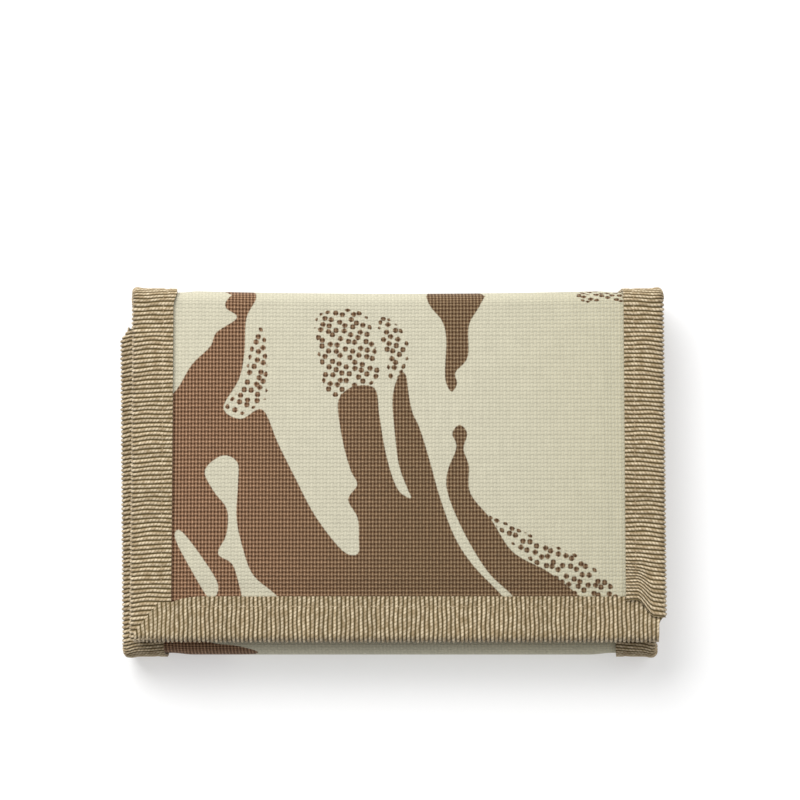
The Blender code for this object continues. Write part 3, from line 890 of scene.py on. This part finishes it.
def nylon_cloth(name, light, dark):
    """Fine plain nylon: a close weave, faint creases and a low sheen."""
    made, tree, shader, cloth = new_finish(name, 0.62, 0.25)
    weave = add_weave(tree, cloth, NYLON_THREADS)
    colour = mixed(tree, cloudy(tree, cloth, 0.08, 3.0), light, dark)
    # Painted shade in the gaps between the nylon threads
    colour = shaded(tree, colour, maths(tree, "MULTIPLY_ADD", weave["Gap shade"], -0.35, 1.0))
    crease = maths(tree, "MULTIPLY", cloudy(tree, cloth, 0.12, 3.0), 3.0)
    height = maths(tree, "ADD", crease, maths(tree, "MULTIPLY", weave["Height"], 0.35))
    surface(tree, shader, colour, height, 0.12)
    return made


lining_nylon = nylon_cloth("tan lining nylon", (0.42, 0.33, 0.215), (0.36, 0.28, 0.175))
for part in strip_parts:
    runs = evenly(*part_runs(part, COVER_INSET, COVER_INSET), LINING_PITCH)
    acrosses = np.linspace(lining_left, cover_half - LINING_INSET, LINING_COLUMNS)
    run, across = np.meshgrid(runs, acrosses, indexing="ij")
    drop_from = fold_runs[3] + FOLD_RADIUS
    deeper = inner_lining_depth - LINING_DEPTHS[0]
    deeper = deeper * eased(run, drop_from, drop_from + LINING_DROP)
    lining = closed_cloth(
        f"lining_cloth_{part}",
        strip_point(across, run, LINING_DEPTHS[0] + deeper),
        strip_point(across, run, LINING_DEPTHS[1] + deeper),
        np.stack([across, run], -1),
    )
    lining.data.materials.append(lining_nylon)
    fold_with(lining)
    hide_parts(*(node.replace("cover", "lining") for node in cover_nodes[part]))


# Card slots. Three stepped pockets of the lining nylon stand on the back panel, each with its mouth
# turned over twice and sewn, and all sewn down their sides and along the foot.

HEM, HEM_EDGE, HEM_PROUD, POCKET_SWELL = 5.0, 0.3, 0.112, 0.06
MOUTH_ROUND, SEAM_INSET, HEM_SEAM = 0.5, 1.4, 0.8
SEAM_PROUD = 0.04
NO_EXTRA = ((), ())


def panel_grid(low, high, pitch, extra=NO_EXTRA):
    """Places over a flat panel, with rows and columns also at the extra x and y."""
    rows = (
        np.unique(np.concatenate([evenly(low[axis], high[axis], pitch), extra[axis]]))
        for axis in (0, 1)
    )
    return np.meshgrid(*rows, indexing="ij")


def flat_panel(name, node, face, material, body, pitch, raised, keep=None, extra=NO_EXTRA):
    """A flat sheet in a node's place. face is 1 if its show side is up; raised shapes that side."""
    low, high = corners_of(node)
    x, y = panel_grid(low, high, pitch, extra)
    near, far = (high[2], low[2]) if face > 0 else (low[2], high[2])
    front = np.stack([x, y, near + face * raised(x, y)], -1)
    behind = np.stack([x, y, far + 0 * x], -1)
    sheet = closed_cloth(name, front, behind, np.stack([x, y], -1), keep(x, y) if keep else None)
    sheet.data.materials.append(material)
    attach(sheet, body)
    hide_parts(node)
    return sheet


def flat_place(x, y, z):
    """Seams off the strip give their depth as a height."""
    return np.stack([x, y, z], -1)


def box_seams(low, high):
    """Along the bottom, the top, the left and the right of a box."""
    (left, bottom), (right, top) = low[:2], high[:2]
    return (
        (left, bottom, right, bottom), (left, top, right, top),
        (left, bottom, left, top), (right, bottom, right, top),
    )


pocket_nylon = nylon_cloth("pocket nylon", (0.40, 0.31, 0.20), (0.33, 0.25, 0.155))
for step in ("rear", "middle", "front"):
    node = f"card_slot_{step}"
    low, high = corners_of(node)
    mouth, hem_foot = high[1], high[1] - HEM

    def turned_mouth(x, y, low=low, high=high, mouth=mouth, hem_foot=hem_foot):
        """The hem stands proud of the pocket, which swells a little between its side seams."""
        hem = eased(y, hem_foot - HEM_EDGE, hem_foot + HEM_EDGE)
        hem = hem * (1 - eased(y, mouth - MOUTH_ROUND, mouth + HEM_EDGE))
        off_middle = abs(x - (low[0] + high[0]) / 2) / (high[0] - low[0]) * 2
        return HEM_PROUD * hem + POCKET_SWELL * eased(1 - off_middle, 0, 0.2)

    extra_y = (hem_foot - HEM_EDGE, hem_foot, hem_foot + HEM_EDGE, mouth - MOUTH_ROUND)
    flat_panel(
        f"card_pocket_{step}", node, 1, pocket_nylon, "back", 1.6, turned_mouth,
        extra=((), extra_y),
    )
    left, right, foot = low[0] + SEAM_INSET, high[0] - SEAM_INSET, low[1] + 1
    hem_row, foot_row = hem_foot + HEM_SEAM, low[1] + SEAM_INSET
    rows = [
        (left, hem_row, right, hem_row),
        *((x, foot, x, mouth - MOUTH_ROUND) for x in (left, right)),
    ]
    if step == "front":
        rows.append((left, foot_row, right, foot_row))
    lines = seams(high[2] + SEAM_PROUD, -1, *rows)
    sewn = stitches(f"card_pocket_stitches_{step}", lines, flat_place)
    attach(sewn, "back")


# Hook and loop closure. A strip of stiff nylon hooks is sewn across the flap's inside, and a strip of
# soft loops across the front of the inner panel, where the two meet when the flap is closed.

PATCH_BASE, PATCH_ROUND, PATCH_EDGE = 0.45, 0.25, 1.5
SELVEDGE, ROOT_SINK = 2.0, 0.1
HOOK_PITCH, HOOK_RADIUS, HOOK_STRAY, HOOK_SWAY = 1.25, 0.13, 0.12, 0.15
LOOP_COUNT, LOOP_RADIUS, LOOP_STEPS = 1700, 0.09, 6
PATCH_SEAM_INSET = np.array((0.9, 0.7))
pile_dice = np.random.default_rng(23)


def bent_threads(paths, radius, sides):
    """Closed threads along many paths of equal length, as one set of points and faces."""
    ahead = np.gradient(paths, axis=1)
    ahead /= np.linalg.norm(ahead, axis=2, keepdims=True)
    aside = np.cross(ahead, (0.31, 0.95, 0.07))
    aside /= np.linalg.norm(aside, axis=2, keepdims=True)
    third = np.cross(ahead, aside)
    turns = np.arange(sides)[:, None] * 2 * math.pi / sides
    circles = aside[:, :, None] * np.cos(turns) + third[:, :, None] * np.sin(turns)
    points = paths[:, :, None] + radius * circles
    return points.reshape(-1, 3), thread_faces(*paths.shape[:2], sides)


def together(*sets):
    """Several sets of points and faces as one."""
    faces, count = [], 0
    for points, some in sets:
        faces += [tuple(index + count for index in face) for face in some]
        count += len(points)
    return np.concatenate([points for points, _ in sets]), faces


def add_pile(piece, points, faces):
    """Joins the pile to its base strip as part of the same mesh."""
    old = piece.data
    base = np.array([vert.co for vert in old.vertices]), [face.vertices for face in old.polygons]
    corners, every = together(base, (points * MM, faces))
    mesh = bpy.data.meshes.new(old.name + "_pile")
    mesh.from_pydata(corners.tolist(), [], every)
    mesh.uv_layers.new(name="cloth_mm")
    mesh.polygons.foreach_set("use_smooth", [True] * len(mesh.polygons))
    mesh.set_sharp_from_angle(angle=math.radians(60))
    mesh.materials.append(old.materials[0])
    piece.data = mesh


def patch_base(name, node, away, material):
    """The woven base of a patch, on the side away from the pile; away is 1 if the pile points up."""
    low, high = corners_of(node)
    bottom, top = (low[2], low[2] + PATCH_BASE) if away > 0 else (high[2] - PATCH_BASE, high[2])
    x, y = panel_grid(low, high, 2.0)
    round_off = PATCH_ROUND * (1 - eased(np.minimum(x - low[0], high[0] - x), -0.1, PATCH_EDGE))
    front = np.stack([x, y, top - round_off * (away > 0)], -1)
    behind = np.stack([x, y, bottom + round_off * (away < 0)], -1)
    patch = closed_cloth(name, front, behind, np.stack([x, y], -1))
    patch.data.materials.append(material)
    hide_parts(node)
    return patch, low, high, (top if away > 0 else bottom)


def pile_paths(feet, sideways, lengthways, heights):
    """Paths that start at the feet, each given as three tables of what it adds to them."""
    return np.stack([feet[:, :1] + sideways, feet[:, 1:] + lengthways, heights], -1)


hook_nylon, loop_nylon = (
    mottled_finish(name, roughness, 0.3, (900.0, 3.0), dark, light, 0.15)
    for name, roughness, dark, light in (
        ("brown hook nylon", 0.5, (0.16, 0.11, 0.065), (0.33, 0.245, 0.15)),
        ("brown loop pile", 0.95, (0.15, 0.105, 0.06), (0.36, 0.27, 0.17)),
    )
)
hooks, low, high, root = patch_base("hook_strip", "hook_patch", -1, hook_nylon)
grid_x, grid_y = np.meshgrid(
    np.arange(low[0] + SELVEDGE, high[0] - SELVEDGE, HOOK_PITCH),
    np.arange(low[1] + SELVEDGE / 2, high[1] - SELVEDGE / 2, HOOK_PITCH),
)
feet = np.stack([grid_x.ravel(), grid_y.ravel()], -1)
feet = feet + pile_dice.uniform(-HOOK_STRAY, HOOK_STRAY, feet.shape)
way = np.where(np.arange(len(feet)) % 2, 1.0, -1.0)[:, None]
hook_reach = high[2] - low[2] - PATCH_BASE - HOOK_RADIUS
hook = np.array([(0, -0.1), (0, 0.45), (0.05, 0.8), (0.25, 0.98), (0.45, 0.9), (0.52, 0.68)])
heights = root - hook_reach * hook[:, 1] + 0 * way
paths = pile_paths(feet, HOOK_SWAY * hook[:, 0] + 0 * way, way * hook[:, 0], heights)
add_pile(hooks, *bent_threads(paths, HOOK_RADIUS, 4))
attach(hooks, "flap")

loops, low, high, root = patch_base("loop_strip", "loop_patch", 1, loop_nylon)
feet = pile_dice.uniform((low[0] + 1, low[1] + 1), (high[0] - 1, high[1] - 1), (LOOP_COUNT, 2))
turned = pile_dice.uniform(0, 2 * math.pi, (LOOP_COUNT, 1))
wide = pile_dice.uniform(0.35, 0.8, (LOOP_COUNT, 1))
tall = pile_dice.uniform(0.5, 1.0, (LOOP_COUNT, 1))
tall = tall * (high[2] - low[2] - PATCH_BASE - LOOP_RADIUS)
arch = np.linspace(0, math.pi, LOOP_STEPS)
heights = root - ROOT_SINK + (tall + ROOT_SINK) * np.sin(arch)
spread = wide * np.cos(arch)
paths = pile_paths(feet, spread * np.cos(turned), spread * np.sin(turned), heights)
add_pile(loops, *bent_threads(paths, LOOP_RADIUS, 3))
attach(loops, "inner")

for word, body, raised in (("hook", "flap", 1), ("loop", "inner", -1)):
    low, high = corners_of(f"{word}_patch")
    z = high[2] - PATCH_BASE + 0.02 if raised > 0 else low[2] + PATCH_BASE - 0.02
    rows = box_seams(low[:2] + PATCH_SEAM_INSET, high[:2] - PATCH_SEAM_INSET)
    sewn = stitches(f"{word}_strip_stitches", seams(z, raised, *rows), flat_place)
    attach(sewn, body)


# Coin pocket bag and card window. The coin pocket's bag hangs behind the zip, between cover and
# lining. On the lining side a nylon frame holds a clear vinyl pane in front of an identity card.

PANE_GAP, TURNED_EDGE, RIM_PROUD, RIM_EDGE = 0.3, 3.0, 0.12, 0.3
BOX_SEAM_INSET, RIM_SEAM_OUT = 1.6, 1.5
bag_nylon = nylon_cloth("coin pocket nylon", (0.34, 0.26, 0.165), (0.28, 0.21, 0.13))


def bag_ripples(x, y):
    """Shallow ripples that die out at the bag's seams."""
    low, high = corners_of("coin_bag")
    inside = np.minimum(np.minimum(x - low[0], high[0] - x), np.minimum(y - low[1], high[1] - y))
    return 0.1 * eased(inside, 0.0, 4.0) * np.sin(x * 0.21) * np.sin(y * 0.33)


flat_panel(
    "coin_pocket_bag", "coin_bag", -1, bag_nylon, "inner", 1.6, bag_ripples
)
pane_low, pane_high = corners_of("id_window_pane")
frame_low, frame_high = corners_of("id_window_frame")
opening = (pane_low[:2] - PANE_GAP, pane_high[:2] + PANE_GAP)


def past_opening(x, y):
    """How far each place is outside the opening, and below 0 in it."""
    past_x = np.maximum(opening[0][0] - x, x - opening[1][0])
    return np.maximum(past_x, np.maximum(opening[0][1] - y, y - opening[1][1]))


def outside_opening(x, y):
    return past_opening(middles(x), middles(y)) >= 0


def turned_rim(x, y):
    """The frame is turned back under itself along the opening, so it is thicker there."""
    return RIM_PROUD * (1 - eased(past_opening(x, y), TURNED_EDGE - RIM_EDGE, TURNED_EDGE + RIM_EDGE))


rims = [
    (near, near - TURNED_EDGE, far, far + TURNED_EDGE) for near, far in zip(*opening)
]
flat_panel(
    "card_window_frame", "id_window_frame", -1, pocket_nylon, "inner", 1.4,
    turned_rim, outside_opening, rims,
)


def clear_vinyl():
    """Clear, slightly wavy sheet."""
    made, tree, shader, _ = new_finish("clear vinyl", 0.09)
    shader.inputs["Transmission Weight"].default_value = 0.94
    shader.inputs["IOR"].default_value = 1.5
    shader.inputs["Specular IOR Level"].default_value = 0.5
    surface(tree, shader, (0.93, 0.94, 0.92, 1), mottled(tree, 60.0, 2.0), 0.4)
    return made


def pane_wave(x, y):
    return 0.05 * np.sin(x * 0.16 + 0.4) * np.sin(y * 0.22)


flat_panel(
    "card_window_pane", "id_window_pane", -1, clear_vinyl(), "inner", 1.2, pane_wave
)
bottom, _, *sides = box_seams(frame_low + BOX_SEAM_INSET, frame_high - BOX_SEAM_INSET)
rim = box_seams(opening[0] - RIM_SEAM_OUT, opening[1] + RIM_SEAM_OUT)
lines = seams(frame_low[2] - SEAM_PROUD, 1, bottom, *sides, *rim)
sewn = stitches("card_window_stitches", lines, flat_place)
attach(sewn, "inner")


# Zip chain. Two herringbone tapes are sewn behind the slit in the inner panel's cover. Each carries a
# row of coiled nylon, wound over a cord, with a metal stop clamped over both rows at each end.

COIL_PITCH, COIL_RADIUS, COIL_STEPS = 1.15, 0.27, 8
CORD_RADIUS, CORD_STEPS, CORD_INSET = 0.22, 40, 0.1
ZIP_SEAM_OUT, ZIP_SEAM_PAST = 1.5, 4.5


def zip_cloth():
    """Herringbone: a twill whose slant turns back in narrow stripes."""
    made, tree, shader, cloth = new_finish("brown zip tape", 0.8, 0.2)
    weave = add_weave(tree, cloth, (0.42, 0.5))
    parts = split(tree, cloth)
    slant = maths(tree, "ADD", parts["X"], maths(tree, "PINGPONG", parts["Y"], 0.9))
    twill = ridges(tree, maths(tree, "MULTIPLY", slant, math.pi / 0.45))
    colour = mixed(tree, twill, (0.13, 0.09, 0.05), (0.30, 0.225, 0.14))
    # Painted shade in the gaps between the zip tape's threads
    colour = mixed(tree, maths(tree, "MULTIPLY", weave["Gap shade"], 0.4), colour, (0.07, 0.045, 0.025))
    surface(tree, shader, colour, twill, 0.07)
    return made


zip_woven = zip_cloth()
zip_nylon = mottled_finish(
    "brown zip nylon", 0.38, 0.0, (500.0, 2.0), (0.20, 0.145, 0.085), (0.29, 0.215, 0.13), 0.03
)
for part in ("upper", "lower"):
    low, high = corners_of(f"zip_tape_{part}")
    inner_y = low[1] if part == "upper" else high[1]

    def corded_edge(x, y, inner_y=inner_y):
        return 0.22 * np.exp(-(((y - inner_y) / 0.6) ** 2)) + 0.04 * np.sin(y * 2.2)

    flat_panel(
        f"zip_tape_cloth_{part}", f"zip_tape_{part}", 1, zip_woven, "inner", 0.8,
        corded_edge,
    )
    low, high = corners_of(f"zip_row_{part}")
    middle = (low + high) / 2
    turns = int((high[0] - low[0]) / COIL_PITCH)
    swing = np.linspace(0, turns * 2 * math.pi, COIL_STEPS * turns + 1)
    half_y, half_z = (high[1:] - low[1:]) / 2 - COIL_RADIUS
    coil_line = [
        np.linspace(low[0] + COIL_RADIUS, high[0] - COIL_RADIUS, len(swing)),
        middle[1] + half_y * np.cos(swing),
        middle[2] + half_z * np.sin(swing),
    ]
    cord_ends = ((low[0] + CORD_INSET, *middle[1:]), (high[0] - CORD_INSET, *middle[1:]))
    points, faces = together(
        bent_threads(np.stack(coil_line, -1)[None], COIL_RADIUS, 6),
        bent_threads(np.linspace(*cord_ends, CORD_STEPS)[None], CORD_RADIUS, 6),
    )
    mesh = bpy.data.meshes.new(f"zip_coil_{part}")
    mesh.from_pydata((points * MM).tolist(), [], faces)
    mesh.materials.append(zip_nylon)
    coil = finished_piece(f"zip_coil_{part}", mesh)
    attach(coil, "inner")
    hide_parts(f"zip_row_{part}")

seam_out = slit_half + ZIP_SEAM_OUT
left, right = slit_low[0] - ZIP_SEAM_PAST, slit_high[0] + ZIP_SEAM_PAST
rows = [(left, y, right, y) for y in (zip_middle - seam_out, zip_middle + seam_out)]
lines = seams(inner_top - COVER_DEPTHS[0] + 0.02, -1, *rows)
sewn = stitches("zip_stitches", lines, flat_place)
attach(sewn, "inner")


# Zip hardware. Stops, slider and puller are die-cast zinc with a dark antique finish, worn brighter
# along the edges. The slider's two plates are joined by the wedge that parts the rows, and the
# puller's eye turns under the bail on top.

CORNER_STEPS, CAST_SHARP = 5, 35
STOP_STEP, STOP_TOOTH_INSET, STOP_OVERLAP = 0.25, 0.4, 0.1
PLATE, UNDER_PLATE, WAIST, JOIN = 0.6, 0.4, 0.6, 0.2
WEDGE, WEDGE_HALF = (2.4, 0.3), 0.25
BAIL_INSET, BAIL_WALL, BAIL_HALF, BAIL_ROOF = 0.8, 0.8, 0.7, 0.5
TAB_END, TAB_ROUND = 5.4, 1.7
NECK_START, NECK_SHARE, NECK_ROUND, NECK_THINNER = 6.6, 0.86, 0.6, 0.02
EYE, EYE_HALF = (4.75, 0.7), 1.1
TIP_HOLE_PLACE, TIP_HOLE_RADIUS, CUT_PAST = 2.5, 0.85, 1.0


def antique_metal():
    """Dark cast zinc, mottled, and bright where the edges are rubbed."""
    made, tree, shader, _ = new_finish("antique zinc", 0.36)
    shader.inputs["Metallic"].default_value = 1.0
    cast = mottled(tree, 700.0, 3.0)
    worn = ramp(tree, add_node(tree, "NewGeometry")["Pointiness"], 0.5, 0.6)
    dark = mixed(tree, cast, (0.17, 0.145, 0.11), (0.27, 0.235, 0.185))
    feed(tree, shader.inputs["Roughness"], maths(tree, "MULTIPLY_ADD", cast, 0.25, 0.25))
    surface(tree, shader, mixed(tree, worn, dark, (0.52, 0.46, 0.37)), cast, 0.03)
    return made


zinc = antique_metal()


def plate_of(name, outline, bottom, top, sharp_above=CAST_SHARP):
    """A closed plate with this outline, between two heights."""
    count = len(outline)
    corners = [(x, y, z) for z in (bottom, top) for x, y in outline]
    faces = [tuple(range(count - 1, -1, -1)), tuple(range(count, 2 * count))]
    faces += [(i, (i + 1) % count, count + (i + 1) % count, count + i) for i in range(count)]
    mesh = bpy.data.meshes.new(name)
    mesh.from_pydata((np.array(corners) * MM).tolist(), [], faces)
    return finished_piece(name, mesh, sharp_above)


def worked(piece, others, operation, bevel, segments, angle):
    """The mesh of a piece with the others joined to it or cut out of it, and its edges rounded."""
    for other in others:
        step = piece.modifiers.new("step", "BOOLEAN")
        step.operation, step.object, step.solver = operation, other, "EXACT"
    rounded = piece.modifiers.new("rounded", "BEVEL")
    rounded.width, rounded.segments, rounded.limit_method = bevel * MM, segments, "ANGLE"
    rounded.angle_limit = math.radians(angle)
    bpy.context.view_layer.update()
    evaluated = piece.evaluated_get(bpy.context.evaluated_depsgraph_get())
    shaped = bpy.data.meshes.new_from_object(evaluated)
    for other in others:
        bpy.data.objects.remove(other)
    return shaped


def cast_piece(name, layers, node, body, bevel=0.12):
    """A casting made of layers joined as one, each (outline in x and y, lowest z, highest z)."""
    first, *others = (plate_of(f"{name}_{i}", *layer) for i, layer in enumerate(layers))
    shaped = worked(first, others, "UNION", bevel, 3, 40)
    bpy.data.objects.remove(first)
    shaped.materials.clear()
    shaped.materials.append(zinc)
    cast = finished_piece(name, shaped, CAST_SHARP)
    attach(cast, body)
    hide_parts(node)
    return cast


def rounded_block(low, high, radius):
    """An outline with round corners."""
    points = []
    for corner, (way_x, way_y) in enumerate(((1, 1), (-1, 1), (-1, -1), (1, -1))):
        x = (high if way_x > 0 else low)[0] - way_x * radius
        y = (high if way_y > 0 else low)[1] - way_y * radius
        for angle in np.linspace(0, math.pi / 2, CORNER_STEPS) + corner * math.pi / 2:
            points.append((x + radius * math.cos(angle), y + radius * math.sin(angle)))
    return points


def middle_block(middle, left, right, half, radius):
    return rounded_block((left, middle - half), (right, middle + half), radius)


for end in ("open_end", "closed_end"):
    low, high = corners_of(f"zip_stop_{end}")
    mid = (low[1] + high[1]) / 2
    left, right = low[0] + STOP_STEP, high[0] - STOP_STEP
    teeth = [
        (rounded_block((left, bottom), (right, top), 0.3), low[2] + JOIN, high[2])
        for bottom, top in (
            (low[1] + STOP_TOOTH_INSET, mid + STOP_OVERLAP),
            (mid - STOP_OVERLAP, high[1] - STOP_TOOTH_INSET),
        )
    ]
    base = (rounded_block(low, high, 0.5), low[2], high[2] - STOP_STEP)
    cast_piece(f"zip_stop_clamp_{end}", (base, *teeth), f"zip_stop_{end}", "inner")

low, high = corners_of("zip_slider")
mid = (low[1] + high[1]) / 2
plate_top = corners_of("cover_inner")[1][2] + 0.7
bail_left, bail_right = low[0] + BAIL_INSET, high[0] - BAIL_INSET


def slider_plate():
    """Shoulders at the end where the rows part, a narrower tail at the other."""
    half = high[1] - mid
    upper = (
        (low[0] + 0.1, half - WAIST), (low[0] + 1.9, half - WAIST), (low[0] + 3.1, half),
        (high[0] - 0.9, half), (high[0] - 0.1, half * 0.72), (high[0] - 0.25, 0.28),
    )
    return [(x, mid + y) for x, y in upper] + [(x, mid - y) for x, y in upper[::-1]]


wedge = middle_block(mid, high[0] - WEDGE[0], high[0] - WEDGE[1], WEDGE_HALF, 0.2)
posts = [
    middle_block(mid, left, left + BAIL_WALL, BAIL_HALF, 0.2)
    for left in (bail_left, bail_right - BAIL_WALL)
]
roof = middle_block(mid, bail_left + 0.1, bail_right - 0.1, BAIL_HALF, 0.3)
cast_piece(
    "zip_slider_body",
    (
        (slider_plate(), plate_top - PLATE, plate_top),
        (slider_plate(), low[2], low[2] + UNDER_PLATE),
        (wedge, low[2] + JOIN, plate_top - JOIN),
        *((post, plate_top - JOIN, high[2] - BAIL_ROOF / 2) for post in posts),
        (roof, high[2] - BAIL_ROOF, high[2]),
    ),
    "zip_slider", "slider", 0.1,
)

# The puller is a tab on a narrower neck, pierced by an eye for the bail and a small hole at its tip
low, high = corners_of("zip_puller")
mid, half = (low[1] + high[1]) / 2, (high[1] - low[1]) / 2
tip, end = low[0], high[0]
tab = middle_block(mid, tip, end - TAB_END, half, TAB_ROUND)
neck = middle_block(mid, end - NECK_START, end, half * NECK_SHARE, NECK_ROUND)
puller = cast_piece(
    "zip_puller_tab",
    ((tab, low[2], high[2]), (neck, low[2] + NECK_THINNER, high[2] - NECK_THINNER)),
    "zip_puller", "puller", 0.0001,
)
eye = middle_block(mid, end - EYE[0], end - EYE[1], EYE_HALF, 0.5)
hole = [
    (tip + TIP_HOLE_PLACE + TIP_HOLE_RADIUS * math.cos(a), mid + TIP_HOLE_RADIUS * math.sin(a))
    for a in np.arange(20) * math.pi / 10
]
cutters = [
    plate_of(f"puller_cut_{i}", cut, low[2] - CUT_PAST, high[2] + CUT_PAST, 50)
    for i, cut in enumerate((eye, hole))
]
shaped = worked(puller, cutters, "DIFFERENCE", 0.1, 2, 30)
puller.modifiers.clear()
puller.data = shaped


# Table, light and camera. The closed wallet lies on its back on a plain white table that glows a
# little, under a broad soft light above its upper left and a weaker one at its right.

FLOOR_HALF, FLOOR_DEPTH = 1.5, 0.0004
KEY_PLACE, KEY_SIZE, KEY_POWER = (-0.3, 0.5, 0.6), (0.7, 0.5), 8.5
FILL_PLACE, FILL_SIZE, FILL_POWER = (0.55, 0.2, 0.7), (0.6, 0.6), 2.0
STUDIO_LIGHT, TABLE_GLOW = 0.34, 0.42
AIM = Vector((0.0018, 0.0175, 0.008))
CAMERA_DISTANCE, CAMERA_LENS, CAMERA_TILT = 0.75, 139.9, math.radians(6.3)


def stand(name, data):
    made = bpy.data.objects.new(name, data)
    bpy.context.scene.collection.objects.link(made)
    return made


floor_mesh = bpy.data.meshes.new("table")
floor_corners = np.array(((-1, -1, 0), (1, -1, 0), (1, 1, 0), (-1, 1, 0))) * FLOOR_HALF
floor_mesh.from_pydata((floor_corners - (0, 0, FLOOR_DEPTH)).tolist(), [], [(0, 1, 2, 3)])
white, tree, shader, _ = new_finish("white table", 0.8)
shader.inputs["Base Color"].default_value = (0.6, 0.6, 0.6, 1)
shader.inputs["Emission Color"].default_value = (1.0, 1.0, 1.0, 1)
shader.inputs["Emission Strength"].default_value = TABLE_GLOW
floor_mesh.materials.append(white)
stand("table", floor_mesh)

world = bpy.data.worlds.new("studio")
bpy.context.scene.world = world
world.use_nodes = True
world.node_tree.nodes["Background"].inputs["Color"].default_value = (1.0, 1.0, 1.0, 1)
world.node_tree.nodes["Background"].inputs["Strength"].default_value = STUDIO_LIGHT

for name, place, size, power in (
    ("key", KEY_PLACE, KEY_SIZE, KEY_POWER),
    ("fill", FILL_PLACE, FILL_SIZE, FILL_POWER),
):
    data = bpy.data.lights.new(name, "AREA")
    data.shape = "RECTANGLE"
    data.size, data.size_y = size
    data.energy = power
    lamp = stand(name, data)
    lamp.location = place
    lamp.rotation_euler = (-Vector(place)).to_track_quat("-Z", "Y").to_euler()

camera_data = bpy.data.cameras.new("camera")
camera_data.lens = CAMERA_LENS
camera_data.clip_start = 0.05
camera = stand("camera", camera_data)
away = Vector((0.0, -math.sin(CAMERA_TILT), math.cos(CAMERA_TILT)))
camera.location = AIM + away * CAMERA_DISTANCE
camera.rotation_euler = (-away).to_track_quat("-Z", "Y").to_euler()
bpy.context.scene.camera = camera
bpy.context.scene.view_settings.view_transform = "Standard"
